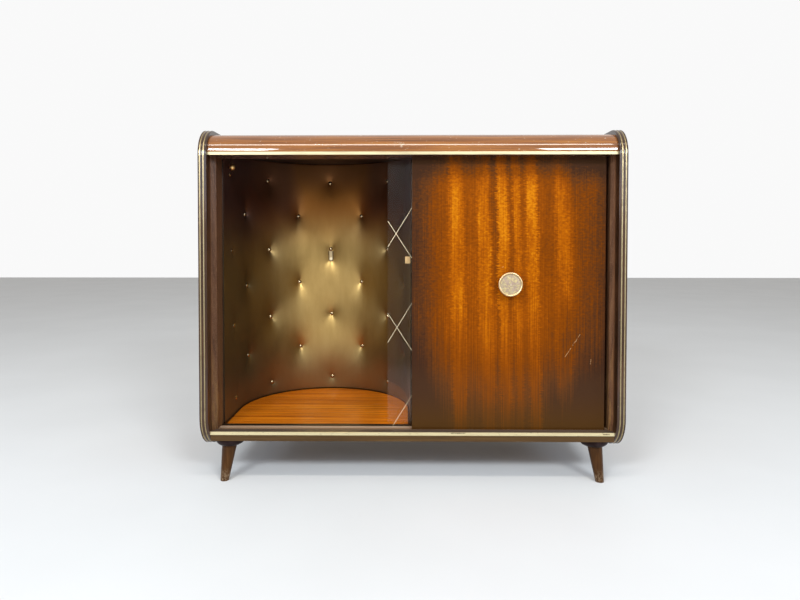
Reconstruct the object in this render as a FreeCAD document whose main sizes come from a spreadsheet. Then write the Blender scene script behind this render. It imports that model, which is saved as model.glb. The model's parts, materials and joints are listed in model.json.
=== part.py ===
import FreeCAD, Part
import math
import os
import re
import Sketcher

# A low bar cabinet on four splayed legs. The left half is an open half-round niche lined with
# tufted padding. The right half is closed by a wooden sliding door, with a glass sliding door
# behind it and a shelf that folds down from the back panel.
# Frame: millimetres, X to the right, Y to the back, Z up, origin on the floor at the middle of
# the plan. The front edges of the sides, the doors and the stiles all lean back by one angle.

DRIVING_SIZES = [
    # outer size and the two sides
    ("width", 820.0, "over the two sides"),
    ("depth", 378.0, "front of the sides to the back panel"),
    ("height", 694.0, "floor to the top of the sides"),
    ("side_underside", 72.0, "floor to the lower edge of the sides"),
    ("side_thickness", 16.5, "panel and lipping"),
    ("corner_radius", 59.0, "rounded front corners of the sides"),
    ("front_lean", 4.5, "degrees that the front leans back"),
    ("lipping_depth", 22.0, "solid lipping round the edge of a side"),
    ("bead_outer", 2.8, "width of the outer bead"),
    ("bead_middle", 4.6, "width of the middle bead"),
    ("bead_rise", 1.3, "height of a bead over its groove edge"),
    ("brass_line", 2.2, "width of a brass line"),
    ("brass_line_depth", 1.6, "how deep a brass line is let in"),
    ("brass_line_proud", 0.5, "how far a brass line stands over its groove edge"),
    # levels
    ("sill_rise", 33.0, "lower edge of the sides to the top of the sill"),
    ("top_inset", 10.0, "top panel below the top of the sides"),
    ("top_thickness", 18.0, "top panel"),
    ("ceiling_thickness", 6.0, "lining under the top panel"),
    ("bottom_thickness", 15.0, "bottom panel"),
    ("floor_thickness", 3.0, "niche floor on the bottom panel"),
    ("back_thickness", 4.0, "back panel"),
    ("back_inset", 1.0, "back panel inside the back edges of the sides"),
    # rail, sill, strips and stiles
    ("rail_setback", 49.0, "front plane to the front of the top rail"),
    ("rail_depth", 66.0, "top rail, front to back"),
    ("rail_height", 43.0, "top rail, underside to top"),
    ("rail_round", 40.0, "radius of the rail's upper front edge"),
    ("sill_setback", 13.0, "front plane to the front of the sill"),
    ("sill_depth", 55.0, "sill, front to back"),
    ("strip_thickness", 1.5, "brass strips"),
    ("rail_strip_height", 5.5, "brass strip on the rail"),
    ("sill_strip_height", 6.5, "brass strip on the sill"),
    ("sill_strip_lift", 1.0, "sill strip above the top of the sill"),
    ("stile_left_thickness", 9.0, "left door stile, measured along X"),
    ("stile_right_thickness", 6.0, "right door stile, measured along X"),
    ("stile_setback", 27.0, "leaning front to the outer edge of a stile"),
    ("stile_bevel", 7.0, "depth of the bevelled face of a stile"),
    ("stile_arris", 1.5, "rounding of a stile's inner edge"),
    # doors
    ("door_setback", 36.0, "leaning front to the face of the wooden door"),
    ("door_thickness", 8.0, "wooden door"),
    ("door_left", 0.0, "left edge of the wooden door at rest"),
    ("door_end_gap", 7.0, "wooden door to the right stile at rest"),
    ("door_arris", 1.2, "rounded front edges of the wooden door"),
    ("glass_pitch", 21.5, "face of the wooden door to the face of the glass"),
    ("glass_thickness", 4.0, "glass door"),
    ("glass_left", -48.5, "left edge of the glass door at rest"),
    ("glass_end_gap", 36.0, "glass door to the right stile at rest"),
    ("glass_arris", 0.6, "ground edges of the glass"),
    ("groove_play", 0.5, "play on each side of a door in its groove"),
    ("run_clearance", 0.3, "door above the bottom of its groove"),
    ("lower_groove", 5.0, "depth of the grooves in the sill"),
    ("upper_groove", 11.0, "depth of the grooves in the rail"),
    ("door_engagement", 6.0, "door inside its upper groove"),
    # knob and pull
    ("knob_offset", 1.5, "knob to the right of the middle of its door"),
    ("knob_rise", 286.0, "top of the sill to the middle of the knob"),
    ("knob_radius", 23.7, "outer radius of the rim"),
    ("knob_face_radius", 20.5, "mottled disc in the rim"),
    ("knob_foot_radius", 15.0, "foot on the door"),
    ("knob_foot_rise", 4.0, "cone from the foot to the neck"),
    ("knob_neck_radius", 8.0, "neck behind the rim"),
    ("knob_neck_length", 7.0, "foot to rim"),
    ("knob_foot_thickness", 2.0, "foot plate"),
    ("knob_rim_depth", 8.0, "rim, front to back"),
    ("knob_rim_rear_round", 2.5, "rounded rear edge of the rim"),
    ("knob_rim_round", 2.0, "rounded front edge of the rim"),
    ("knob_seat", 2.0, "wall of the rim behind the disc"),
    ("knob_face_sink", 1.2, "edge of the disc below the edge of the rim"),
    ("knob_face_crown", 0.8, "disc's middle in front of its edge"),
    ("knob_screw_radius", 2.0, "screw through the door"),
    ("knob_screw_head", 4.0, "radius of the screw's head"),
    ("knob_screw_head_height", 1.5, "the screw's head"),
    ("pull_width", 10.5, "glass pull"),
    ("pull_height", 14.0, "glass pull"),
    ("pull_thickness", 3.5, "glass pull"),
    ("pull_inset", 35.0, "glass pull from the left edge of the glass"),
    ("pull_rise", 326.0, "top of the sill to the lower edge of the glass pull"),
    # niche
    ("barrel_side_gap", 2.25, "plywood barrel to the side and to the partition"),
    ("barrel_back_gap", 0.5, "plywood barrel to the back panel"),
    ("padding_thickness", 6.0, "padding"),
    ("shell_thickness", 3.0, "bent plywood"),
    ("soft_clearance", 0.3, "padding to its neighbours"),
    ("niche_clearance", 9.2, "glass to the front edge of the niche"),
    ("button_radius", 5.0, "button nails"),
    ("button_rise", 2.5, "height of a button's dome"),
    ("button_pitch", 156.0, "between buttons of one row, along the padding"),
    ("button_first_row", 30.0, "niche floor to the lowest row"),
    ("button_last_row", 45.0, "top row to the ceiling"),
    ("button_rows", 7, "number of rows"),
    ("button_offset", -5.0, "middle button from the middle of the niche"),
    ("tab_width", 12.0, "brass tab"),
    ("tab_length", 25.0, "brass tab"),
    ("tab_thickness", 1.2, "brass tab"),
    ("tab_gap", 0.05, "brass tab off the padding"),
    ("tab_row", 4, "rows below the one that carries the tab"),
    ("peg_inset", 25.5, "ceiling peg from the side"),
    ("peg_setback", 124.5, "front plane to the ceiling peg"),
    ("peg_length", 33.8, "ceiling to the middle of the bead"),
    ("peg_radius", 1.2, "pin of the peg"),
    ("bead_radius", 6.1, "bead at the end of the peg"),
    # right compartment and its shelf
    ("partition_left", 9.0, "left face of the partition"),
    ("partition_thickness", 12.0, "partition"),
    ("shelf_headroom", 35.0, "folded shelf to the ceiling"),
    ("shelf_thickness", 14.0, "fold-down shelf"),
    ("shelf_side_gap", 4.0, "shelf to the partition and to the side"),
    ("shelf_back_gap", 1.0, "folded shelf to the back panel"),
    ("batten_height", 40.0, "batten under the hinge"),
    ("joint_gap", 0.5, "gap between the hinge line and the wood on each side"),
    ("hinge_plate", 1.2, "thickness of a hinge leaf"),
    ("hinge_leaf_height", 18.0, "width of a hinge leaf"),
    ("hinge_knuckle", 2.5, "outer radius of a knuckle"),
    ("hinge_pin_radius", 1.2, "hinge pin"),
    ("hinge_play", 0.05, "pin in its knuckles"),
    ("hinge_knuckle_gap", 0.4, "between two knuckles"),
    ("hinge_inset", 20.0, "end of the hinge to the end of the shelf"),
    ("hinge_knuckle_length", 36.0, "pitch of the knuckles"),
    ("cleat_width", 12.0, "cleats under the open shelf, along X"),
    ("cleat_height", 16.0, "cleats"),
    ("cleat_length", 180.0, "cleats, front to back"),
    ("cleat_gap", 0.3, "open shelf above its cleats"),
    # base
    ("collar_inset", 47.0, "outer face of a side to the middle of a collar"),
    ("collar_setback", 43.5, "front plane to the middle of a front collar"),
    ("collar_radius", 29.0, "collar"),
    ("collar_height", 15.0, "collar"),
    ("collar_edge", 2.5, "straight rim of a collar"),
    ("collar_ledge", 0.6, "flat underside of a collar beyond the leg"),
    ("leg_top_radius", 14.7, "leg under its collar"),
    ("leg_foot_radius", 8.2, "leg at the floor"),
    ("leg_lead", 2.2, "leg's head outside the middle of its collar, along X"),
    ("leg_splay_side", 9.0, "foot outside the leg's head, along X"),
    ("leg_splay_front", 11.0, "foot beyond the leg's head, along Y"),
    ("bolt_radius", 4.0, "hanger bolts"),
    ("bolt_length", 42.0, "hanger bolts"),
    ("bolt_rise", 10.5, "hanger bolt in the cabinet's bottom"),
    ("bolt_play", 0.3, "hanger bolt in its collar"),
    # small fasteners
    ("nail_head_radius", 2.6, "back panel nails"),
    ("nail_head", 0.8, "thickness of a nail head"),
    ("nail_radius", 0.9, "nail shank"),
    ("nail_length", 16.0, "nail under its head"),
    ("nail_pitch", 124.0, "between nails"),
    ("nail_inset", 9.0, "nails from the edge of the panel they enter"),
    ("screw_head_radius", 3.0, "hinge screws, under the head"),
    ("screw_crown_radius", 1.8, "hinge screws, top of the head"),
    ("screw_head_height", 1.0, "hinge screws"),
    ("screw_radius", 1.4, "hinge screws"),
    ("screw_length", 10.0, "hinge screws"),
    ("screw_rise", 11.2, "hinge axis to the screws of a leaf"),
    ("screw_end_inset", 19.6, "end of a leaf to its first screw"),
    ("screws_per_leaf", 4, "number of screws"),
]

DERIVED_SIZES = [
    ("slope", "tan(front_lean)", "how far the front recedes per millimetre of height"),
    ("front", "-depth / 2", "front plane"),
    ("back", "depth / 2", "back of the cabinet"),
    ("inner_half", "width / 2 - side_thickness", "inner face of a side"),
    ("top_level", "height - top_inset", "top of the top panel"),
    ("rail_underside", "top_level - rail_height", "top of the door opening"),
    ("floor_level", "side_underside + sill_rise", "top of the sill and of the niche floor"),
    ("ceiling_level", "top_level - top_thickness - ceiling_thickness", "niche ceiling"),
    ("panel_level", "floor_level - floor_thickness", "top of the bottom panel"),
    ("bottom_level", "panel_level - bottom_thickness", "underside of the bottom panel"),
    ("lower_center", "side_underside + corner_radius", "centre of the lower front corner"),
    ("upper_center", "height - corner_radius", "centre of the upper front corner"),
    ("lower_center_y", "front + corner_radius", "the same along Y"),
    ("upper_center_y", "lower_center_y + slope * (upper_center - lower_center)", "and above"),
    ("face_foot", "lower_center_y - corner_radius / cos(front_lean) - slope * lower_center",
     "leaning front, carried down to the floor"),
    ("leaning_foot", "face_foot + slope * floor_level", "leaning front at floor_level"),
    ("rail_front", "front + rail_setback", "front of the top rail"),
    ("rail_back", "rail_front + rail_depth", "back of the top rail"),
    ("sill_front", "front + sill_setback", "front of the sill"),
    ("sill_back", "sill_front + sill_depth", "back of the sill"),
    ("board_face", "back - back_inset", "rear face of the back panel"),
    ("panel_back", "board_face - back_thickness", "front of the back panel"),
    ("bead_inner", "side_thickness - bead_outer - bead_middle - 2 * brass_line", "inner bead"),
    ("door_face", "leaning_foot + door_setback", "door face at floor_level"),
    ("glass_face", "door_face + glass_pitch", "glass face at floor_level"),
    ("niche_face", "glass_face + glass_thickness / cos(front_lean) + niche_clearance",
     "front edge of the niche at floor_level"),
    ("opening_left", "stile_left_thickness - inner_half", "inner face of the left stile"),
    ("opening_right", "inner_half - stile_right_thickness", "inner face of the right stile"),
    ("door_width", "opening_right - door_end_gap - door_left", "wooden door"),
    ("glass_width", "opening_right - glass_end_gap - glass_left", "glass door"),
    ("door_foot", "run_clearance - lower_groove", "door's lower edge, from floor_level"),
    ("door_length", "(rail_underside - floor_level) / cos(front_lean) + door_engagement - door_foot",
     "door, measured along its lean"),
    ("shell_outer", "(inner_half + partition_left) / 2 - barrel_side_gap", "outside of the barrel"),
    ("shell_inner", "shell_outer - shell_thickness", "inside of the plywood barrel"),
    ("niche_radius", "shell_inner - padding_thickness", "face of the padding"),
    ("niche_center", "partition_left - barrel_side_gap - shell_outer", "middle of the niche"),
    ("niche_center_y", "panel_back - barrel_back_gap - shell_outer", "centre of the half round"),
    ("button_row_pitch",
     "(ceiling_level - button_last_row - floor_level - button_first_row) / (button_rows - 1)",
     "between rows"),
    ("button_sphere",
     "(button_radius * button_radius + button_rise * button_rise) / (2 * button_rise)",
     "radius of a button's dome"),
    ("partition_right", "partition_left + partition_thickness", "right face of the partition"),
    ("shelf_left", "partition_right + shelf_side_gap", "left end of the shelf"),
    ("shelf_width", "inner_half - shelf_side_gap - shelf_left", "length of the shelf"),
    ("shelf_face", "panel_back - shelf_back_gap - shelf_thickness", "front of the folded shelf"),
    ("hinge_axis_y", "shelf_face - hinge_knuckle", "hinge axis"),
    ("shelf_reach", "hinge_axis_y - joint_gap - rail_back", "depth of the unfolded shelf"),
    ("shelf_height", "ceiling_level - shelf_headroom - shelf_reach", "hinge line"),
    ("knob_right", "door_left + door_width / 2 + knob_offset", "middle of the knob along X"),
    ("knob_height", "floor_level + knob_rise", "middle of the knob above the floor"),
    ("knob_y", "door_face + slope * knob_rise", "door face at the knob"),
    ("knob_reach", "knob_foot_thickness + knob_neck_length + knob_rim_depth", "knob off the door"),
    ("collar_right", "width / 2 - collar_inset", "middle of a collar along X"),
    ("collar_seat", "leg_top_radius + leg_lead + collar_ledge", "flat underside of a collar"),
    ("leg_height", "bottom_level - collar_height", "floor to the underside of a collar"),
]

document = FreeCAD.newDocument("BarCabinet")
sheet = document.addObject("Spreadsheet::Sheet", "Sizes")


def fill_sheet():
    for row, (alias, value, meaning) in enumerate(DRIVING_SIZES + DERIVED_SIZES, start=1):
        text = f"={value}" if isinstance(value, str) else str(value)
        sheet.set(f"A{row}", meaning)
        sheet.set(f"B{row}", text)
        sheet.setAlias(f"B{row}", alias)
    document.recompute()


fill_sheet()
ALIASES = {alias for alias, _, _ in DRIVING_SIZES + DERIVED_SIZES}
SUBPARTS = []
RIGHT = FreeCAD.Vector(1, 0, 0)
BACK = FreeCAD.Vector(0, 1, 0)
UP = FreeCAD.Vector(0, 0, 1)
# cosine of the widest angle, about 8 degrees, at which an edge still counts as running along
NEARLY_PARALLEL = 0.99
# how near an edge has to lie to the place where it is looked for
TOLERANCE = 0.01


def linked(formula):
    """The formula with each size's name turned into a reference to its cell."""
    return re.sub(r"[A-Za-z_]\w*", lambda m: f"Sizes.{m.group()}" if m.group() in ALIASES
                  else m.group(), formula)


def size(formula):
    return float(sheet.evalExpression(linked(formula)))


def bind(thing, **formulas):
    """Binds properties, such as Placement_Base_x, to formulas of the sheet."""
    for name, formula in formulas.items():
        thing.setExpression(name.replace("_", "."), linked(formula))
    return thing


def place(thing, x="0", y="0", z="0", lean=False):
    bind(thing, Placement_Base_x=x, Placement_Base_y=y, Placement_Base_z=z)
    if lean:
        thing.Placement.Rotation.Axis = RIGHT
        bind(thing, Placement_Rotation_Angle="-front_lean")
    return thing


def subpart(thing, label):
    thing.Label = label
    SUBPARTS.append(thing)
    return thing


def box(name, x, y, z, length, width, height, lean=False):
    thing = document.addObject("Part::Box", name)
    bind(thing, Length=length, Width=width, Height=height)
    return place(thing, x, y, z, lean)


def upright_cylinder(name, x, y, z, radius, height):
    thing = document.addObject("Part::Cylinder", name)
    bind(thing, Radius=radius, Height=height)
    return place(thing, x, y, z)


def combined(kind, name, base, tool):
    thing = document.addObject(f"Part::{kind}", name)
    thing.Base = base
    thing.Tool = tool
    return thing


def cut(name, base, *tools):
    for number, tool in enumerate(tools, start=1):
        last = number == len(tools)
        base = combined("Cut", name if last else f"{name}_cut{number}", base, tool)
    return base


# ---- sketches ---------------------------------------------------------------------------

def origin_plane(body, role):
    return next(item for item in body.Origin.OriginFeatures if item.Role == role)


def arc_between(start, end, radius):
    """The arc from start to end; a positive radius bulges to the left of the way it runs.

    A sketch keeps its arcs anticlockwise, so the pair of vertex numbers says which end of
    the arc lies at start and which at end.
    """
    chord = end - start
    side = FreeCAD.Vector(-chord.y, chord.x, 0)
    side.normalize()
    bulge = 1 if radius > 0 else -1
    reach = math.sqrt(max(radius ** 2 - (chord.Length / 2) ** 2, 0))
    center = (start + end) * 0.5 - side * (bulge * reach)
    angles = [math.atan2(point.y - center.y, point.x - center.x) for point in (start, end)]
    vertices = (1, 2)
    if bulge > 0:
        angles.reverse()
        vertices = (2, 1)
    if angles[1] < angles[0]:
        angles[1] += 2 * math.pi
    circle = Part.Circle(center, UP, abs(radius))
    return Part.ArcOfCircle(circle, angles[0], angles[1]), vertices


def loop_sketch(body, name, plane, corners, arcs=None, offset="0", closed=True):
    """A sketch of lines and arcs through the corners, each bound to the sheet.

    arcs gives, for the stretch that leaves a corner, its radius as a formula; a leading
    minus sign makes it bulge to the right of the way it runs.
    """
    arcs = arcs or {}
    sketch = body.newObject("Sketcher::SketchObject", name)
    sketch.AttachmentSupport = (origin_plane(body, plane), [""])
    sketch.MapMode = "FlatFace"
    bind(sketch, AttachmentOffset_Base_z=offset)
    points = [FreeCAD.Vector(size(across), size(along), 0) for across, along in corners]
    count = len(points)
    stretches = count if closed else count - 1
    bent = {}
    for index in range(stretches):
        start, end = points[index], points[(index + 1) % count]
        if index not in arcs:
            sketch.addGeometry(Part.LineSegment(start, end), False)
            continue
        arc, bent[index] = arc_between(start, end, size(arcs[index]))
        sketch.addGeometry(arc, False)
    for index in range(stretches if closed else stretches - 1):
        following = (index + 1) % stretches
        leaves = bent.get(index, (1, 2))[1]
        enters = bent.get(following, (1, 2))[0]
        sketch.addConstraint(Sketcher.Constraint("Coincident", index, leaves, following, enters))
    for index, (across, along) in enumerate(corners):
        edge = min(index, stretches - 1)
        ends = bent.get(edge, (1, 2))
        vertex = ends[0] if index == edge else ends[1]
        for direction, formula, value in (("DistanceX", across, points[index].x),
                                          ("DistanceY", along, points[index].y)):
            number = sketch.addConstraint(
                Sketcher.Constraint(direction, -1, 1, edge, vertex, value))
            sketch.setExpression(f"Constraints[{number}]", linked(formula))
    for index in bent:
        radius = arcs[index].lstrip("-")
        number = sketch.addConstraint(Sketcher.Constraint("Radius", index, size(radius)))
        sketch.setExpression(f"Constraints[{number}]", linked(radius))
    return sketch


def new_body(name):
    return document.addObject("PartDesign::Body", name)


def padded(name, plane, corners, length, arcs=None, offset="0"):
    body = new_body(name)
    sketch = loop_sketch(body, f"{name}_outline", plane, corners, arcs, offset)
    pad = body.newObject("PartDesign::Pad", f"{name}_pad")
    pad.Profile = sketch
    bind(pad, Length=length)
    document.recompute()
    return body


def turned(name, corners, arcs=None):
    """A body turned about its own Z axis from corners given as (radius, height)."""
    body = new_body(name)
    sketch = loop_sketch(body, f"{name}_section", "XZ_Plane", corners, arcs)
    revolution = body.newObject("PartDesign::Revolution", f"{name}_turning")
    revolution.Profile = sketch
    revolution.ReferenceAxis = (sketch, ["V_Axis"])
    revolution.Angle = 360
    document.recompute()
    return body


def edges_along(shape, direction, accept):
    """Names of the straight edges that run along a direction and whose middle is accepted."""
    names = []
    for number, edge in enumerate(shape.Edges, start=1):
        run = edge.Vertexes[-1].Point - edge.Vertexes[0].Point
        straight = run.Length > 0 and edge.Length - run.Length < 1e-6
        if not straight or abs(run.dot(direction)) < NEARLY_PARALLEL * run.Length:
            continue
        if accept(edge.CenterOfMass):
            names.append(f"Edge{number}")
    return names


def rounded(body, direction, accept, radius):
    """Rounds the accepted straight edges of a body with the radius of a cell."""
    tip = body.Tip
    fillet = body.newObject("PartDesign::Fillet", f"{body.Name}_rounding_{len(body.Group)}")
    fillet.Base = (tip, edges_along(tip.Shape, direction, accept))
    bind(fillet, Radius=radius)
    document.recompute()
    return body


# ---- sides --------------------------------------------------------------------------------

def side_outline(inset):
    """Corners and arcs of a side's outline in Y and Z, moved inwards by the inset."""
    radius = f"(corner_radius - {inset})"
    across = f"{radius} * cos(front_lean)"
    rise = f"{radius} * sin(front_lean)"
    corners = [
        ("back", f"height - {inset}"),
        ("upper_center_y", f"height - {inset}"),
        (f"upper_center_y - {across}", f"upper_center + {rise}"),
        (f"lower_center_y - {across}", f"lower_center + {rise}"),
        ("lower_center_y", f"side_underside + {inset}"),
        ("back", f"side_underside + {inset}"),
    ]
    return corners, {1: f"-{radius}", 3: f"-{radius}"}


def side_panel(label, start):
    corners, arcs = side_outline("lipping_depth")
    return subpart(padded(label, "YZ_Plane", corners, "side_thickness", arcs, start), label)


def bead_radius_formula(width):
    return f"(({width}) * ({width}) / 4 + bead_rise * bead_rise) / (2 * bead_rise)"


def swept_round_side(name, corners, arcs):
    """Sweeps a section in X and Z, drawn at the back of the top edge, round a side's outline."""
    body = new_body(name)
    section = loop_sketch(body, f"{name}_section", "XZ_Plane", corners, arcs, "-back")
    path_corners, path_arcs = side_outline("0")
    path = loop_sketch(body, f"{name}_path", "YZ_Plane", path_corners, path_arcs, closed=False)
    document.recompute()
    pipe = body.newObject("PartDesign::AdditivePipe", f"{name}_sweep")
    pipe.Profile = section
    pipe.Spine = (path, [f"Edge{number}" for number in range(1, len(path_corners))])
    pipe.Mode = "Binormal"
    pipe.Binormal = RIGHT
    document.recompute()
    return body


def side_lipping(label, outer, inward):
    """Three beads with two grooves between them; inward is the sign of X towards the middle."""
    def at(distance):
        return f"{outer} {inward} ({distance})"

    crest = "height"
    groove_edge = f"{crest} - bead_rise"
    groove_floor = f"{groove_edge} - brass_line_depth"
    lower_edge = f"{crest} - lipping_depth"
    first_line = "bead_outer"
    second_line = "bead_outer + brass_line + bead_middle"
    corners = [
        (at("0"), groove_edge),
        (at(first_line), groove_edge),
        (at(first_line), groove_floor),
        (at(f"{first_line} + brass_line"), groove_floor),
        (at(f"{first_line} + brass_line"), groove_edge),
        (at(second_line), groove_edge),
        (at(second_line), groove_floor),
        (at(f"{second_line} + brass_line"), groove_floor),
        (at(f"{second_line} + brass_line"), groove_edge),
        (at("side_thickness"), groove_edge),
        (at("side_thickness"), lower_edge),
        (at("0"), lower_edge),
    ]
    bulge = "-" if inward == "-" else ""
    arcs = {
        0: bulge + bead_radius_formula("bead_outer"),
        4: bulge + bead_radius_formula("bead_middle"),
        8: bulge + bead_radius_formula("bead_inner"),
    }
    return subpart(swept_round_side(label, corners, arcs), label)


def brass_line(name, outer, inward, start):
    top = "height - bead_rise + brass_line_proud"
    bottom = "height - bead_rise - brass_line_depth"
    near = f"{outer} {inward} ({start})"
    far = f"{outer} {inward} ({start} + brass_line)"
    corners = [(near, top), (far, top), (far, bottom), (near, bottom)]
    return swept_round_side(name, corners, None)


def side_brass_lines(label, outer, inward):
    first = brass_line(f"{label}_outer", outer, inward, "bead_outer")
    second = brass_line(f"{label}_inner", outer, inward, "bead_outer + brass_line + bead_middle")
    pair = document.addObject("Part::Compound", label)
    pair.Links = [first, second]
    return subpart(pair, label)


def sides():
    side_panel("side_panel_left", "-width / 2")
    side_panel("side_panel_right", "inner_half")
    side_lipping("side_lipping_left", "-width / 2", "+")
    side_lipping("side_lipping_right", "width / 2", "-")
    side_brass_lines("side_brass_lines_left", "-width / 2", "+")
    side_brass_lines("side_brass_lines_right", "width / 2", "-")


# ---- carcass ------------------------------------------------------------------------------

def door_groove(name, face, thickness, start, height):
    """A leaning cutter as long as the opening, for a door whose face stands at face."""
    cutter = box(name, "0", "0", "0", "opening_right - opening_left",
                 f"{thickness} + 2 * groove_play", height)
    holder = document.addObject("Part::Compound", f"{name}_leaning")
    holder.Links = [cutter]
    bind(cutter, Placement_Base_x="opening_left", Placement_Base_y="-groove_play",
         Placement_Base_z=start)
    return place(holder, "0", face, "floor_level", lean=True)


def rounded_rail():
    corners = [
        ("rail_front", "rail_underside"),
        ("rail_front", "top_level - rail_round"),
        ("rail_front + rail_round", "top_level"),
        ("rail_back", "top_level"),
        ("rail_back", "rail_underside"),
    ]
    return padded("rail_blank", "YZ_Plane", corners, "2 * inner_half", {1: "rail_round"},
                  "-inner_half")


def carcass():
    full_width = "2 * inner_half"
    opening = "(rail_underside - floor_level) / cos(front_lean)"
    rail = cut(
        "top_front_rail", rounded_rail(),
        door_groove("upper_door_groove", "door_face", "door_thickness",
                    f"{opening} - upper_groove", "2 * upper_groove"),
        door_groove("upper_glass_groove", "glass_face", "glass_thickness",
                    f"{opening} - upper_groove", "2 * upper_groove"))
    subpart(rail, "top_front_rail")
    subpart(box("top_brass_strip", "-inner_half", "rail_front - strip_thickness", "rail_underside",
                full_width, "strip_thickness", "rail_strip_height"), "top_brass_strip")
    subpart(box("top_panel", "-inner_half", "rail_back", "top_level - top_thickness",
                full_width, "panel_back - rail_back", "top_thickness"), "top_panel")
    subpart(box("ceiling_panel", "-inner_half", "rail_back", "ceiling_level",
                full_width, "panel_back - rail_back", "ceiling_thickness"), "ceiling_panel")
    sill_blank = box("sill_blank", "-inner_half", "sill_front", "bottom_level",
                     full_width, "sill_depth", "floor_level - bottom_level")
    sill = cut(
        "sill", sill_blank,
        door_groove("lower_door_groove", "door_face", "door_thickness",
                    "-lower_groove", "2 * lower_groove"),
        door_groove("lower_glass_groove", "glass_face", "glass_thickness",
                    "-lower_groove", "2 * lower_groove"))
    subpart(sill, "sill")
    subpart(box("sill_brass_strip", "-inner_half", "sill_front - strip_thickness",
                "floor_level + sill_strip_lift - sill_strip_height", full_width,
                "strip_thickness", "sill_strip_height"), "sill_brass_strip")
    subpart(box("bottom_panel", "-inner_half", "sill_back", "bottom_level",
                full_width, "panel_back - sill_back", "bottom_thickness"), "bottom_panel")
    subpart(box("back_panel", "-inner_half", "panel_back", "bottom_level",
                full_width, "back_thickness", "top_level - bottom_level"), "back_panel")


def stile(label, outer, inner):
    """A stile drawn square to the lean, leaned back and trimmed level at the sill and rail."""
    rear = "(niche_face - leaning_foot) * cos(front_lean)"
    corners = [
        (outer, "stile_setback"),
        (inner, "stile_setback + stile_bevel"),
        (inner, rear),
        (outer, rear),
    ]
    to_be_trimmed = "sill_depth"
    body = padded(f"{label}_blank", "XY_Plane", corners,
                  f"rail_underside - floor_level + 2 * {to_be_trimmed}",
                  offset=f"-{to_be_trimmed}")
    arris_x, arris_y = size(inner), size("stile_setback + stile_bevel")
    rounded(body, UP, lambda middle: abs(middle.x - arris_x) < TOLERANCE
            and abs(middle.y - arris_y) < TOLERANCE, "stile_arris")
    place(body, "0", "leaning_foot", "floor_level", lean=True)
    opening = box(f"{label}_opening", "-width", "-depth", "floor_level", "2 * width", "2 * depth",
                  "rail_underside - floor_level")
    return subpart(combined("Common", label, body, opening), label)


def behind_the_glass(name, solid):
    """Trims a solid to the leaning front edge of the niche and to the back of the rail."""
    reach = "height"
    leaning = box(f"{name}_lean_cutter", "0", "0", "0", "2 * width", reach, "2 * height")
    holder = document.addObject("Part::Compound", f"{name}_lean_trim")
    holder.Links = [leaning]
    bind(leaning, Placement_Base_x="-width", Placement_Base_y=f"-{reach}",
         Placement_Base_z="-height / 2")
    place(holder, "0", "niche_face", "floor_level", lean=True)
    rail_space = box(f"{name}_rail_trim", "-width", f"rail_back - {reach}", "rail_underside",
                     "2 * width", reach, "height")
    return cut(name, solid, holder, rail_space)


def partition():
    blank = box("partition_blank", "partition_left", "sill_front", "panel_level",
                "partition_thickness", "panel_back - sill_front", "ceiling_level - panel_level")
    subpart(behind_the_glass("centre_partition", blank), "centre_partition")


# ---- niche ----------------------------------------------------------------------------------

def u_corners(outer, inner, front):
    """Plan of a U between two radii, open at the front."""
    center, center_y = "niche_center", "niche_center_y"
    corners = [
        (f"{center} - ({outer})", front),
        (f"{center} - ({outer})", center_y),
        (center, f"{center_y} + {outer}"),
        (f"{center} + {outer}", center_y),
        (f"{center} + {outer}", front),
        (f"{center} + {inner}", front),
        (f"{center} + {inner}", center_y),
        (center, f"{center_y} + {inner}"),
        (f"{center} - ({inner})", center_y),
        (f"{center} - ({inner})", front),
    ]
    arcs = {1: f"({outer})", 2: f"({outer})", 6: f"-({inner})", 7: f"-({inner})"}
    return corners, arcs


def barrel(label, outer, inner, foot, head):
    corners, arcs = u_corners(outer, inner, "sill_front")
    blank = padded(f"{label}_blank", "XY_Plane", corners, f"({head}) - ({foot})", arcs, foot)
    return subpart(behind_the_glass(label, blank), label)


def niche_floor():
    radius = "niche_radius - soft_clearance"
    corners = [
        (f"niche_center - ({radius})", "sill_back"),
        (f"niche_center - ({radius})", "niche_center_y"),
        ("niche_center", f"niche_center_y + {radius}"),
        (f"niche_center + {radius}", "niche_center_y"),
        (f"niche_center + {radius}", "sill_back"),
    ]
    arcs = {1: f"({radius})", 2: f"({radius})"}
    body = padded("niche_floor", "XY_Plane", corners, "floor_thickness", arcs, "panel_level")
    subpart(body, "niche_floor")


def on_padding(distance, height, radius):
    """Point and inward direction at a distance along the padding from the middle of the back."""
    center = FreeCAD.Vector(size("niche_center"), size("niche_center_y"), height)
    quarter = math.pi / 2 * size("niche_radius")
    angle = max(-quarter, min(quarter, distance)) / size("niche_radius")
    outward = FreeCAD.Vector(math.sin(angle), math.cos(angle), 0)
    straight = max(abs(distance) - quarter, 0)
    return center + outward * radius - BACK * straight, outward * -1


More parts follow.
